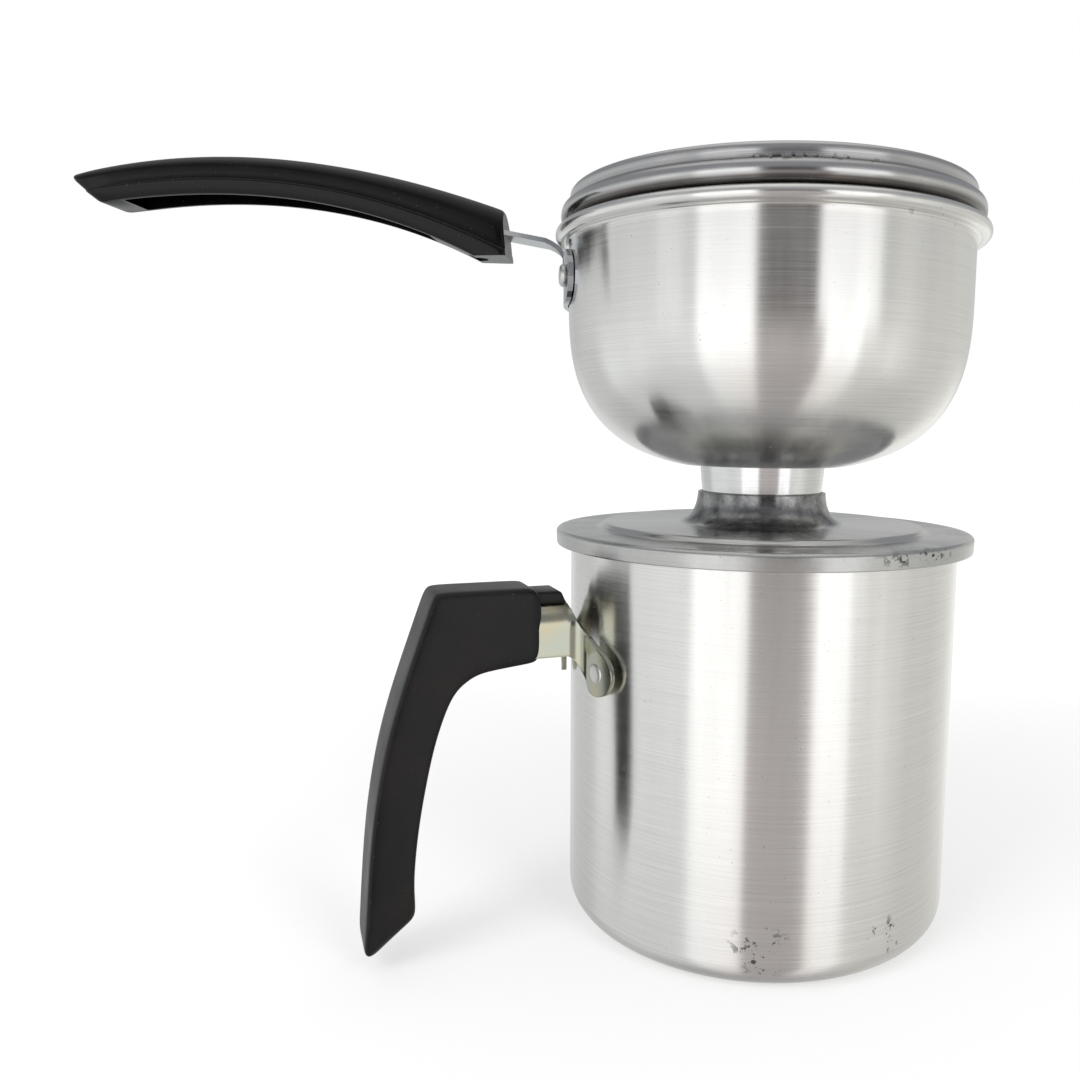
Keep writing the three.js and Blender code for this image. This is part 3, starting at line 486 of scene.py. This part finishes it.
# The lid's aluminium is painted darker than the bowl's, as shade for the dark gap and undersides
# that it reflects
lid_metal = spun_metal(
    "lid_aluminium", (0.62, 0.62, 0.62), 0.16, 0.08, 0.5, LID_SCUFFS, 0.3, grime_and_shade_bands=LID_GRIME_AND_SHADE_BANDS)
grid_metal = spun_metal("grid_aluminium", (0.72, 0.72, 0.71), 0.30, 0.10, 0.5)
neck_metal = spun_metal("neck_aluminium", (0.78, 0.78, 0.78), 0.12, 0.04, 0.4)
rivet_metal = spun_metal("rivet_aluminium", (0.78, 0.78, 0.77), 0.32, 0.08, 0.0)
plated = plated_metal("plated_steel", (0.41, 0.45, 0.40), (0.52, 0.48, 0.35))
blue_plated = plated_metal("blue_plated_steel", (0.40, 0.43, 0.47), (0.52, 0.53, 0.54))
bakelite = moulded("bakelite", 0.32, 0.24)
glossy_bakelite = moulded("glossy_bakelite", 0.21, 0.26, 0.30)


def wear(target, material):
    """Makes a material an object's only one."""
    target.data.materials.clear()
    target.data.materials.append(material)


def own(piece, body, slot, material, *nodes):
    """Gives a piece its material and body, and hides the nodes that it stands for. The slot is not
    used.
    """
    wear(piece, material)
    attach(piece, body)
    if nodes:
        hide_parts(*nodes)


# Pot
pot_profile = (
    [(0, 0.5)]
    + filleted([(0, 0.5, 0), (50, 0.5, 2), (52, 0, 2), (56, 0, 0)])[1:]
    + arc((56, 9), 9, -90, 0, 14)[1:]
    + [(65, 60), (65, 120)]
    + filleted([(65, 124, 0), (65, 127.2, 1.2), (65.9, 127.2, 0)])
    + arc((65.9, 128.7), 1.5, -90, 90, 12)[1:]
    + filleted([(65.5, 130.2, 0), (63.8, 130.2, 0.8), (63.8, 126, 0)])
    + arc((56, 9), 7.8, 0, -90, 12)
    + [(0, 1.2)]
)
own(lathe("pot_body", pot_profile), "pot", "aluminium", pot_metal, "pot_shell")

# Cover: under the chimney and panel, out round the rolled skirt, and back over the top
cover_profile = (
    filleted([(21.1, 143.7, 0), (20.6, 143.7, 0.4), (20.25, 140, 2), (20.2, 139.2, 0)])
    + bezier((20.2, 139.2), (21.2, 132.2), (28.5, 132.2), 14)[1:]
    + filleted([(40, 132.2, 0), (54, 132.2, 1.5), (55.2, 130.5, 1.5), (60, 130.5, 0)])
    + arc((66.5, 128), 2.5, 90, -40, 14)
    + filleted([(68.6, 126.6, 0), (69.25, 126.0, 0.25), (69.8, 126.2, 0.3), (70.0, 130.5, 0.6),
                (69.2, 131.35, 0.5), (66.8, 131.5, 1.0), (63, 131.5, 0)], 6)
    + filleted([(60, 131.5, 0), (55.2, 131.5, 1.0), (54, 133.2, 1.0), (48, 133.2, 0)])
    + bezier((30.5, 133.2), (22.6, 133.3), (21.8, 142.4), 18)
    + filleted([(21.8, 142.4, 0), (21.7, 143.7, 0.6), (21.1, 143.7, 0)])[1:-1]
)
own(lathe("cover_body", cover_profile), "cover", "aluminium", cover_metal, "cover_plate")


# Bowl
BOWL_FULLNESS = 2.8
BOWL_EQUATOR = 206.9
BOWL_BOTTOM = 152.7
BOWL_FLAT = 27
BOWL_OUTSIDE, BOWL_INSIDE = 66.1, 65


def bowl_round(radius_full, depth, steps):
    """The round of the bowl from the edge of its flat floor to the wall."""
    flat = BOWL_FLAT / radius_full
    reach = (1 - flat ** BOWL_FULLNESS) ** (1 / BOWL_FULLNESS)
    start = math.acos(flat ** (BOWL_FULLNESS / 2))
    points = []
    for i in range(steps + 1):
        share = math.cos(start * (1 - i / steps)) ** (2 / BOWL_FULLNESS)
        drop = (1 - min(1.0, share) ** BOWL_FULLNESS) ** (1 / BOWL_FULLNESS)
        points.append((radius_full * share, BOWL_EQUATOR - depth * drop / reach))
    return points


bowl_profile = (
    [(21.4, BOWL_BOTTOM)]
    + bowl_round(BOWL_OUTSIDE, 54.2, 44)
    + [(BOWL_OUTSIDE, 215)]
    + filleted([(BOWL_OUTSIDE, 222, 0), (BOWL_OUTSIDE, 224.6, 1.0), (67.2, 224.7, 0)])
    + arc((68.3, 226.6), 2.2, -120, 90, 18)
    + filleted([(67, 228.8, 0), (BOWL_INSIDE, 228.8, 0.9), (BOWL_INSIDE, 224, 0)])
    + [(BOWL_INSIDE, 215)]
    + list(reversed(bowl_round(BOWL_INSIDE, 53.1, 30)))
    + [(21.4, BOWL_BOTTOM + 1.1)]
)
own(lathe("bowl_body", bowl_profile), "bowl", "aluminium", bowl_metal, "bowl_shell")

neck_profile = (
    filleted([(19.0, 134.7, 0), (19.5, 134.7, 0.3), (20.3, 143.7, 1), (21.1, 152.7, 1),
              (21.1, 154.1, 0.3), (25.6, 154.1, 0)])
    + filleted([(25.6, 154.4, 0), (25.6, 155.1, 0.4), (21.6, 155.1, 0.5), (20.1, 155.1, 1.0),
                (19.3, 143.7, 0)])
    + [(18.5, 135.2)]
)
neck = lathe("bowl_neck_tube", neck_profile, 128)
own(neck, "bowl", "polished_aluminium", neck_metal, "bowl_neck")

# Lid: over the sunk top, the drum and the rolled flange, and back underneath
lid_profile = (
    [(0, 239.0)]
    + filleted([(50, 239.0, 0), (56, 239.0, 0.9), (57.6, 240.6, 0.9), (62, 240.6, 0)])
    + bezier((63.9, 240.6), (65.8, 240.6), (65.8, 238.7), 8)
    + filleted([(65.8, 238, 0), (65.8, 235.9, 0.5), (66.4, 235.8, 0)])
    + bezier((66.5, 235.8), (68.7, 235.7), (68.7, 232.7), 14)
    + bezier((68.7, 232.7), (68.7, 230.0), (66.3, 229.2), 10)[1:]
    + filleted([(65.6, 229.1, 0), (64.4, 229.1, 0.3), (64.4, 224.6, 0.4), (63.4, 224.6, 0.4),
                (63.4, 230, 0)])
    + filleted([(63.4, 234, 0), (64.8, 235.9, 0.8), (64.8, 239.6, 0.8), (60, 239.6, 0)])
    + [(57.6, 239.6), (56, 238.0), (0, 238.0)]
)
own(lathe("lid_body", lid_profile), "lid", "aluminium", lid_metal, "lid_shell")

knob_profile = (
    [(0, 239.0)]
    + filleted([(6, 239.0, 0), (8, 239.0, 0.6), (7.2, 241.4, 1.2), (7.0, 243, 0)])
    + bezier((7.0, 243), (7.2, 246.4), (12.2, 246.9), 12)[1:]
    + bezier((12.2, 246.9), (13.0, 247.2), (13.0, 248.2), 5)[1:]
    + bezier((13.0, 248.4), (12.4, 254.0), (0, 254.0), 18)
)
own(lathe("lid_knob_cap", knob_profile, 96), "lid", "bakelite", bakelite, "lid_knob")


# Rivets
POT_RIVET = (67.1, 63.3, 89.7)
POT_RIVET_ANGLE = math.radians(15)
BOWL_RIVET = (68.2, 64.5, 212.8)
BOWL_RIVET_ANGLE = math.asin(16 / BOWL_OUTSIDE)


def rivet(name, seat, inside, height, angle, body, node):
    """A rivet along a radius: domed head outside its seat, flat head inside the wall."""
    profile = (
        [(0, inside - 1.2)]
        + filleted([(1, inside - 1.2, 0), (3.4, inside - 1.2, 0.5), (3.6, inside, 0.2),
                    (2, inside, 0)])
        + [(2, seat)]
        + filleted([(2, seat, 0), (3.6, seat, 0.2), (3.6, seat + 0.6, 0.5),
                    (2.9, seat + 1.45, 0.7), (0.8, seat + 1.6, 0)])[1:]
        + [(0, seat + 1.5)]
    )
    made = lathe(name, profile, 48)
    stand = Matrix.Rotation(angle, 4, "Z") @ Matrix.Rotation(math.pi / 2, 4, "Y")
    made.data.transform(Matrix.Translation((0, 0, height * MM)) @ stand)
    own(made, body, "aluminium", rivet_metal, node)


rivet("pot_rivet_head_front", *POT_RIVET, POT_TURN + POT_RIVET_ANGLE, "pot", "pot_rivet_front")
rivet("pot_rivet_head_rear", *POT_RIVET, POT_TURN - POT_RIVET_ANGLE, "pot", "pot_rivet_rear")
rivet("bowl_rivet_head_front", *BOWL_RIVET, BOWL_TURN + BOWL_RIVET_ANGLE,
      "bowl", "bowl_rivet_front")
rivet("bowl_rivet_head_rear", *BOWL_RIVET, BOWL_TURN - BOWL_RIVET_ANGLE,
      "bowl", "bowl_rivet_rear")


# Pot grip: outer edge point, inner edge point and width of each ring, from the tip up to the
# block, drawn along +X
GRIP_RINGS = (
    ((129.2, 6.0), (123.0, 13.0), 8.0),
    ((133.4, 4.4), (120.5, 14.6), 14.0),
    ((135.2, 6.6), (119.4, 17.4), 17.5),
    ((134.7, 13.0), (119.8, 22.5), 19.4),
    ((134.3, 19.0), (119.9, 30.0), 20),
    ((133.2, 35.0), (118.5, 43.0), 20),
    ((131.6, 50.0), (116.6, 54.0), 20),
    ((128.8, 66.0), (113.9, 67.0), 20),
    ((125.7, 78.0), (111.3, 75.5), 20),
    ((121.9, 90.0), (108.5, 82.6), 20),
    ((118.2, 100.5), (105.9, 86.1), 20),
    ((114.7, 110.6), (103.2, 88.1), 20),
    ((113.0, 115.0), (100.8, 89.4), 20),
    ((111.0, 115.7), (98.4, 90.2), 20),
    ((103.0, 115.7), (94.5, 90.8), 20),
    ((93.0, 115.7), (89.5, 91.4), 20),
    ((84.6, 115.7), (83.6, 92.0), 20),
    ((82.2, 115.4), (81.8, 92.6), 19.6),
    ((80.6, 112.6), (80.5, 95.4), 18.4),
    ((79.9, 108.5), (79.9, 99.5), 15),
)
SOCKET_ENDS = (60, 87.3)


def grip_ring(outer, inner, width):
    """A round-edged section between two edge points."""
    half = width / 2
    right = ((0.0, 0.0), (0.0, 0.5), (0.0, 0.86), (0.035, 0.97), (0.14, 1.0), (0.5, 1.0),
             (0.86, 1.0), (0.965, 0.97))
    left = tuple((1 - share, -side) for share, side in right)
    layout = right + ((1.0, 0.86), (1.0, 0.5)) + left + ((0.0, -0.86), (0.0, -0.5))
    ring = []
    for share, side in layout:
        u = outer[0] + (inner[0] - outer[0]) * share
        z = outer[1] + (inner[1] - outer[1]) * share
        ring.append((u * MM, side * half * MM, z * MM))
    return ring


grip = finish_mesh("pot_grip", loft([grip_ring(*ring) for ring in GRIP_RINGS]), 180)
applied(grip, "SUBSURF", levels=3, render_levels=3)
socket = [(-8.3, 93.4), (8.3, 93.4)]
socket += arc((3, 104.7), 5.3, 0, 90, 10) + arc((-3, 104.7), 5.3, 90, 180, 10)
socket_rings = [[(u * MM, y * MM, z * MM) for y, z in socket] for u in SOCKET_ENDS]
cut_away(grip, finish_mesh("grip_socket", loft(socket_rings)))
drill(grip, 3.9, 60, 95.7, 107)
resharpen(grip, 35)
turned(grip, POT_TURN)
own(grip, "pot", "bakelite", bakelite, "pot_handle_grip")

tab_outline = [(71.5, 110.0), (84, 110.0), (84, 113.9), (73.3, 113.9)]
tab = bevelled_block("pot_grip_tab", tab_outline, 6.5, 0.8)
turned(tab, POT_TURN)
own(tab, "pot", "bakelite", bakelite)


# Bowl handle: a hollow-backed arched bar, drawn along +X. Its curves are root, control and tip.
HANDLE_UNDERSIDE = ((86.1, 214.27), (142.92, 248.47), (221.7, 236.47))
HANDLE_CROWN = ((88.1, 236.17), (167.94, 263.37), (233.3, 246.47))
HANDLE_WALL = 3.0
NOSE_START = 0.93
HOLLOW_START, HOLLOW_END, HOLLOW_STEPS = 0.22, 0.95, 32


def handle_edges(t):
    """Underside and crown points of the handle's side at a share of its length."""
    return quadratic(*HANDLE_UNDERSIDE, t), quadratic(*HANDLE_CROWN, t)


def handle_half(t):
    """Half the handle's width, drawn in towards its tip."""
    nose = max(0.0, (t - NOSE_START) / (1 - NOSE_START))
    return (17 + 4 * t) / 2 * (1 - 0.1 * nose ** 2)


def handle_ring(t, layout):
    """Points at one station from (side in millimetres, share of the height) pairs."""
    low, high = handle_edges(t)
    ring = []
    for side, rise in layout:
        u = low[0] + (high[0] - low[0]) * rise
        z = low[1] + (high[1] - low[1]) * rise
        ring.append((u * MM, side * MM, z * MM))
    return ring


def handle_section(t, inset):
    """The handle across its length: a round crown that steps out to a lower band canted down."""
    half = handle_half(t)
    top = half - 1.3
    band = [(half - 2.0, 0.0), (half - 1.6, 0.012), (half - 1.35, 0.045), (half - 0.03, 0.30)]
    step = [(half - 0.08, 0.335), (half - 0.32, 0.362), (half - 0.7, 0.378), (top + 0.05, 0.385)]
    right = band + step + [(top, 0.41), (top, 0.5)]
    crown = []
    for k in range(25):
        angle = math.pi * k / 24
        crown.append((top * math.cos(angle), 0.66 + 0.34 * math.sin(angle)))
    left = [(-side, rise) for side, rise in reversed(right)]
    narrow = 1 - inset / half
    squeeze = 1 - 2 * inset / math.dist(*handle_edges(t))
    return [(side * narrow, 0.5 + (rise - 0.5) * squeeze) for side, rise in right + crown + left]


stations = [(0.0, 0.7), (0.002, 0.3), (0.006, 0.05)]
stations += [(k / 48, 0.0) for k in range(1, 48)]
stations += [(0.988, 0.0), (0.9945, 0.2), (0.998, 0.55), (1.0, 1.1)]
handle_rings = [handle_ring(t, handle_section(t, inset)) for t, inset in stations]
handle = finish_mesh("bowl_grip", loft(handle_rings))
hollow_rings = []
for k in range(HOLLOW_STEPS + 1):
    t = HOLLOW_START + (HOLLOW_END - HOLLOW_START) * k / HOLLOW_STEPS
    half = handle_half(t) - HANDLE_WALL
    hollow_rings.append(handle_ring(t, [(half, -0.5), (half, 0.62), (-half, 0.62), (-half, -0.5)]))
cut_away(handle, finish_mesh("handle_hollow", loft(hollow_rings)))
flat_end = [(-20, 200), (20, 200), (20, 220.47), (-20, 220.47)]
flat_rings = [[(u * MM, y * MM, z * MM) for y, z in flat_end] for u in (70, 108)]
cut_away(handle, finish_mesh("handle_floor", loft(flat_rings)))
drill(handle, 3.3, 210, 226.66, 97.1)
resharpen(handle, 30)
turned(handle, BOWL_TURN)
own(handle, "bowl", "bakelite", glossy_bakelite, "bowl_handle_grip")


# Pot bracket: one bent sheet, from the channel in the grip to the two ears on the pot
SHEET_LOW, SHEET_TOP, SHEET_HALF = 93.7, 109.7, 8.0
SHEET_ROWS = 20
SHEET_STATIONS = (87, 85, 83, 81, 79, 77, 75)
BEND_STEPS = 20
EAR_OUTSIDE = 66.8
EAR_CENTRE = (17.29, 89.7)
EAR_ROUND = 7.3
EAR_TOP_LINE = ((6.5, 103.7), (20.72, 96.14))
EAR_STEPS = 30
FOLD = 7.0
BEND = 7.0
TONGUE_END, TONGUE_HALF = 109, 3


def ear_span(y):
    """Lower and upper edge of an ear at a distance to one side."""
    drop = math.sqrt(max(0.0, EAR_ROUND ** 2 - (y - EAR_CENTRE[0]) ** 2))
    (near, near_top), (far, far_top) = EAR_TOP_LINE
    high = EAR_CENTRE[1] + drop
    if y < far:
        high = near_top + (y - near) / (far - near) * (far_top - near_top)
    return EAR_CENTRE[1] - drop, high


def bracket_path():
    """Stations along one side of the sheet: place, outward direction, lower and upper edge."""
    turn_y = SHEET_HALF + BEND
    bend_at = math.sqrt((EAR_OUTSIDE + BEND) ** 2 - turn_y ** 2)
    meet = math.degrees(math.atan2(turn_y, bend_at))
    path = []
    for u in SHEET_STATIONS + (bend_at,):
        path.append(((u, SHEET_HALF), (0.0, 1.0), SHEET_LOW, SHEET_TOP))
    ear_low, ear_high = ear_span(EAR_OUTSIDE * math.sin(math.radians(meet)))
    for k in range(1, BEND_STEPS + 1):
        share = k / BEND_STEPS
        angle = math.radians(270 - (270 - 180 - meet) * share)
        away = (-math.cos(angle), -math.sin(angle))
        place = (bend_at + BEND * math.cos(angle), turn_y + BEND * math.sin(angle))
        low = SHEET_LOW + (ear_low - SHEET_LOW) * share ** 1.7
        high = SHEET_TOP + (ear_high - SHEET_TOP) * (1 - (1 - share) ** 1.5)
        path.append((place, away, low, high))
    far = math.degrees(math.asin((EAR_CENTRE[0] + EAR_ROUND) / EAR_OUTSIDE)) - 0.02
    for k in range(1, EAR_STEPS + 1):
        share = math.sin(math.pi / 2 * k / EAR_STEPS)
        angle = math.radians(meet + (far - meet) * share)
        away = (math.cos(angle), math.sin(angle))
        place = (EAR_OUTSIDE * away[0], EAR_OUTSIDE * away[1])
        path.append((place, away, *ear_span(place[1])))
    return path


def bracket_row(station):
    """Points up the sheet at one station: a straight side, then the fold to the upper edge."""
    (u, y), (out_u, out_y), low, high = station
    shoulder = SHEET_TOP - FOLD
    straight = min(high, shoulder) - low
    turn = math.asin(min(1.0, max(0.0, (high - shoulder) / FOLD)))
    total = straight + FOLD * turn
    points = []
    for k in range(SHEET_ROWS + 1):
        along = total * k / SHEET_ROWS
        bent = max(0.0, along - straight) / FOLD
        back = FOLD * (1 - math.cos(bent))
        z = low + min(along, straight) + FOLD * math.sin(bent)
        points.append((u - out_u * back, y - out_y * back, z))
    return points


def bracket_sheet():
    """Both sides of the sheet, the flat top between them and the tongue into the grip."""
    made = bmesh.new()
    flats = len(SHEET_STATIONS) + 1
    tops = {}
    for side in (1, -1):
        rows = []
        for station in bracket_path():
            row = bracket_row(station)
            rows.append([made.verts.new((u * MM, side * y * MM, z * MM)) for u, y, z in row])
        for here, after in zip(rows, rows[1:]):
            for k in range(SHEET_ROWS):
                face = (here[k], here[k + 1], after[k + 1], after[k])
                made.faces.new(face if side > 0 else tuple(reversed(face)))
        tops[side] = [row[-1] for row in rows[:flats]]
    for k in range(flats - 1):
        made.faces.new((tops[1][k], tops[-1][k], tops[-1][k + 1], tops[1][k + 1]))
    tongue = []
    for side in (1, -1):
        corner = (TONGUE_END * MM, side * TONGUE_HALF * MM, SHEET_TOP * MM)
        tongue.append(made.verts.new(corner))
    made.faces.new((tongue[0], tongue[1], tops[-1][0], tops[1][0]))
    return linked("pot_bracket", made)


bracket = bracket_sheet()
applied(bracket, "SOLIDIFY", thickness=0.0015, offset=-1.0, use_even_offset=True)
applied(bracket, "BEVEL", width=0.00025, segments=2, limit_method="ANGLE",
        angle_limit=math.radians(60))
resharpen(bracket, 35)
turned(bracket, POT_TURN)
own(bracket, "pot", "plated_steel", plated, "pot_handle_bracket")

# CAD nodes that stay
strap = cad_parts["bowl_handle_strap"]
wear(strap, blue_plated)
soften = strap.modifiers.new("soften", "BEVEL")
soften.width = 0.0004
soften.segments = 3
soften.limit_method = "ANGLE"
soften.angle_limit = math.radians(40)
soften.harden_normals = True
for node in ("pot_handle_screw", "bowl_handle_screw", "lid_knob_screw", "lid_knob_washer"):
    wear(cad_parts[node], plated)

# Steam grid: a rimmed disc with a hole at its centre and three rings of holes
GRID_LOW = 157.9
HOLE_RINGS = 4
HOLE_PITCH = 9.5
HOLE_RADIUS = 2.3
grid_profile = (
    [(0, GRID_LOW + 2)]
    + filleted([(30, GRID_LOW + 2, 0), (39, GRID_LOW + 2, 0.6), (39, GRID_LOW, 0.2),
                (40, GRID_LOW, 0.2), (40, GRID_LOW + 3, 1.2), (36, GRID_LOW + 3, 0)])
    + [(0, GRID_LOW + 3)]
)
grid_disc = lathe("steam_grid_disc", grid_profile, 128)
drills = bmesh.new()
for ring in range(HOLE_RINGS):
    count = max(1, 6 * ring)
    for k in range(count):
        angle = TAU * k / count + BOWL_TURN
        out = ring * HOLE_PITCH * MM
        spot = (out * math.cos(angle), out * math.sin(angle), (GRID_LOW + 2.5) * MM)
        bmesh.ops.create_cone(
            drills, cap_ends=True, segments=24, radius1=HOLE_RADIUS * MM, radius2=HOLE_RADIUS * MM,
            depth=8 * MM, matrix=Matrix.Translation(spot))
cut_away(grid_disc, finish_mesh("grid_drills", drills))
resharpen(grid_disc, 40)
own(grid_disc, "grid", "aluminium", grid_metal, "steam_grid")


# Floor: it keeps the shadow, and its glow grows with distance until it meets the white world
FLOOR_RADIUS = 6.0
FLOOR_GREY = (0.55, 0.55, 0.55)
FLOOR_GLOW = (0.15, 0.7, 0.45, 0.64)


def make_floor():
    made = bmesh.new()
    bmesh.ops.create_circle(made, cap_ends=True, radius=FLOOR_RADIUS, segments=96)
    floor = linked("floor", made)
    nodes = Nodes(bpy.data.materials.new("floor"))
    nodes.tree.nodes.clear()
    diffuse = nodes.add("ShaderNodeBsdfDiffuse")
    nodes.join(opaque(FLOOR_GREY), diffuse.inputs["Color"])
    place = nodes.add("ShaderNodeNewGeometry").outputs["Position"]
    away = nodes.vector("LENGTH", place, (0, 0, 0))
    seen = nodes.add("ShaderNodeLightPath").outputs["Is Camera Ray"]
    glow = nodes.add("ShaderNodeEmission")
    nodes.join(nodes.times(seen, nodes.ramp(away, *FLOOR_GLOW)), glow.inputs["Strength"])
    both = nodes.add("ShaderNodeAddShader")
    nodes.join(diffuse.outputs[0], both.inputs[0])
    nodes.join(glow.outputs[0], both.inputs[1])
    out = nodes.add("ShaderNodeOutputMaterial")
    nodes.join(both.outputs[0], out.inputs["Surface"])
    wear(floor, nodes.owner)
    floor.visible_glossy = False


make_floor()

# Studio: a pale room whose softboxes stand to the left and right of the camera. Each room is
# (turn from the camera in degrees, level) round the horizon.
CAMERA_AZIMUTH = 241.0
ROOM_LOW = (
    (-180, 0.70), (-150, 0.66), (-140, 0.56), (-115, 0.56), (-105, 0.76), (-75, 0.80),
    (-58, 0.75), (-40, 0.80), (-35, 1.22), (-7, 1.22), (-4, 0.50), (30, 0.48), (34, 1.22),
    (52, 1.22), (55, 0.74), (75, 0.80), (95, 0.60), (115, 0.58), (135, 0.66), (155, 0.86),
)
ROOM_HIGH = (
    (-180, 0.50), (-140, 0.50), (-125, 0.58), (-105, 0.66), (-75, 0.74), (-62, 0.80),
    (-50, 0.92), (-40, 0.72), (-35, 1.26), (-7, 1.26), (-4, 0.10), (25, 0.09), (29, 1.26),
    (60, 1.26), (64, 0.58), (80, 0.68), (95, 0.60), (125, 0.60),
)
ROOM_FLOOR = (
    (-180, 0.56), (-115, 0.46), (-105, 0.56), (-40, 0.58), (-35, 0.82), (-7, 0.82),
    (-4, 0.38), (30, 0.36), (34, 0.82), (52, 0.82), (55, 0.56), (95, 0.48), (155, 0.60),
)
WALL_TOP = (0.30, 0.305, 0.32)
CEILING = (0.62, 0.62, 0.62)
OVERHEAD = (0.72, 0.72, 0.72)
UNDERFOOT = (0.36, 0.35, 0.35)
WHITE = (1.0, 1.0, 1.0)
ROOM_STRENGTH = 1.12
FILL_STRENGTH = 0.75
LAMP_LEVEL = 0.9


def room_tint(turn, level):
    """White lamps, a warm gap between them, a cool side on the left and a cream one right."""
    if level > LAMP_LEVEL:
        return WHITE
    if -10 < turn < 40:
        return (1.0, 0.935, 0.915)
    return (0.98, 1.0, 0.995) if turn < 0 else (1.0, 0.995, 0.955)


def make_world():
    """White to the camera, an even fill to matt faces, and the painted room in reflections."""
    world = bpy.data.worlds.new("studio")
    bpy.context.scene.world = world
    nodes = Nodes(world)
    nodes.tree.nodes.clear()
    place = nodes.add("ShaderNodeTexCoord").outputs["Generated"]
    radial = nodes.add("ShaderNodeTexGradient", gradient_type="RADIAL")
    nodes.join(place, radial.inputs[0])
    height = nodes.split(place)[2]

    def around(room):
        ramp = nodes.add("ShaderNodeValToRGB")
        nodes.join(radial.outputs["Fac"], ramp.inputs[0])
        stops = []
        for turn, level in room:
            share = ((CAMERA_AZIMUTH + turn) / 360 + 0.5) % 1.0
            stops.append((share, tuple(level * part for part in room_tint(turn, level)) + (1,)))
        stops.sort()
        edge = stops[0][1]
        elements = ramp.color_ramp.elements
        elements[0].position, elements[0].color = 0.0, edge
        elements[1].position, elements[1].color = 1.0, edge
        for share, colour in stops:
            elements.new(share).color = colour
        return ramp.outputs["Color"]

    tone = around(ROOM_LOW)
    for low, high, layer in (
        (-0.12, 0.02, around(ROOM_HIGH)),
        (0.23, 0.33, opaque(WALL_TOP)),
        (0.70, 0.85, opaque(CEILING)),
        (0.93, 0.95, opaque(OVERHEAD)),
        (-0.35, -0.52, around(ROOM_FLOOR)),
        (-0.80, -0.97, opaque(UNDERFOOT)),
    ):
        tone = nodes.mix(nodes.ramp(height, low, high), tone, layer)

    def background(colour, strength):
        node = nodes.add("ShaderNodeBackground")
        nodes.join(colour, node.inputs["Color"])
        nodes.join(strength, node.inputs["Strength"])
        return node.outputs[0]

    def choose(share, otherwise, chosen):
        node = nodes.add("ShaderNodeMixShader")
        for value, socket in zip((share, otherwise, chosen), node.inputs):
            nodes.join(value, socket)
        return node.outputs[0]

    path = nodes.add("ShaderNodeLightPath")
    fill = background(opaque(WHITE), FILL_STRENGTH)
    lit = choose(path.outputs["Is Glossy Ray"], fill, background(tone, ROOM_STRENGTH))
    seen = choose(path.outputs["Is Camera Ray"], lit, background(opaque(WHITE), 1.0))
    out = nodes.add("ShaderNodeOutputWorld")
    nodes.join(seen, out.inputs["Surface"])


make_world()

SOFTBOX_DISTANCE = 1.3
SOFTBOX_AIM = Vector((0, 0, 0.12))


def softbox(name, azimuth, height, size, power):
    """A lamp that lights matt faces only; reflections come from the painted room."""
    data = bpy.data.lights.new(name, "AREA")
    data.shape = "RECTANGLE"
    data.size, data.size_y = size
    data.energy = power
    lamp = bpy.data.objects.new(name, data)
    bpy.context.scene.collection.objects.link(lamp)
    angle = math.radians(azimuth)
    lamp.location = (
        SOFTBOX_DISTANCE * math.cos(angle), SOFTBOX_DISTANCE * math.sin(angle), height)
    lamp.rotation_euler = (SOFTBOX_AIM - lamp.location).to_track_quat("-Z", "Y").to_euler()
    lamp.visible_glossy = False
    lamp.visible_camera = False


softbox("softbox_left", CAMERA_AZIMUTH - 40, 0.9, (0.7, 1.0), 9)
softbox("softbox_right", CAMERA_AZIMUTH + 45, 0.8, (0.5, 0.9), 6)

# Camera at the photograph's place
CAMERA_PLACE = (-0.1581, -0.2852, 0.1649)
CAMERA_PITCH = math.radians(6.796)
CAMERA_ROLL = math.radians(0.751)
CAMERA_HEADING = math.radians(67.93)
FOCAL_PX = 943.3
CENTRE_X = 646.1
IMAGE_PX = 1080
SENSOR_MM = 36.0


def make_camera():
    data = bpy.data.cameras.new("camera")
    camera = bpy.data.objects.new("camera", data)
    bpy.context.scene.collection.objects.link(camera)
    data.sensor_width = SENSOR_MM
    data.lens = FOCAL_PX / IMAGE_PX * SENSOR_MM
    data.shift_x = (IMAGE_PX / 2 - CENTRE_X) / IMAGE_PX
    data.clip_start, data.clip_end = 0.01, 50
    ahead = Vector((math.cos(CAMERA_HEADING), math.sin(CAMERA_HEADING), 0))
    side = Vector((math.sin(CAMERA_HEADING), -math.cos(CAMERA_HEADING), 0))
    up = Vector((0, 0, 1))
    forward = ahead * math.cos(CAMERA_PITCH) - up * math.sin(CAMERA_PITCH)
    level = ahead * math.sin(CAMERA_PITCH) + up * math.cos(CAMERA_PITCH)
    right = side * math.cos(CAMERA_ROLL) + level * math.sin(CAMERA_ROLL)
    top = level * math.cos(CAMERA_ROLL) - side * math.sin(CAMERA_ROLL)
    turn = Matrix((right, top, -forward)).transposed()
    camera.matrix_world = Matrix.Translation(CAMERA_PLACE) @ turn.to_4x4()
    bpy.context.scene.camera = camera


make_camera()
bpy.context.scene.view_settings.view_transform = "Standard"
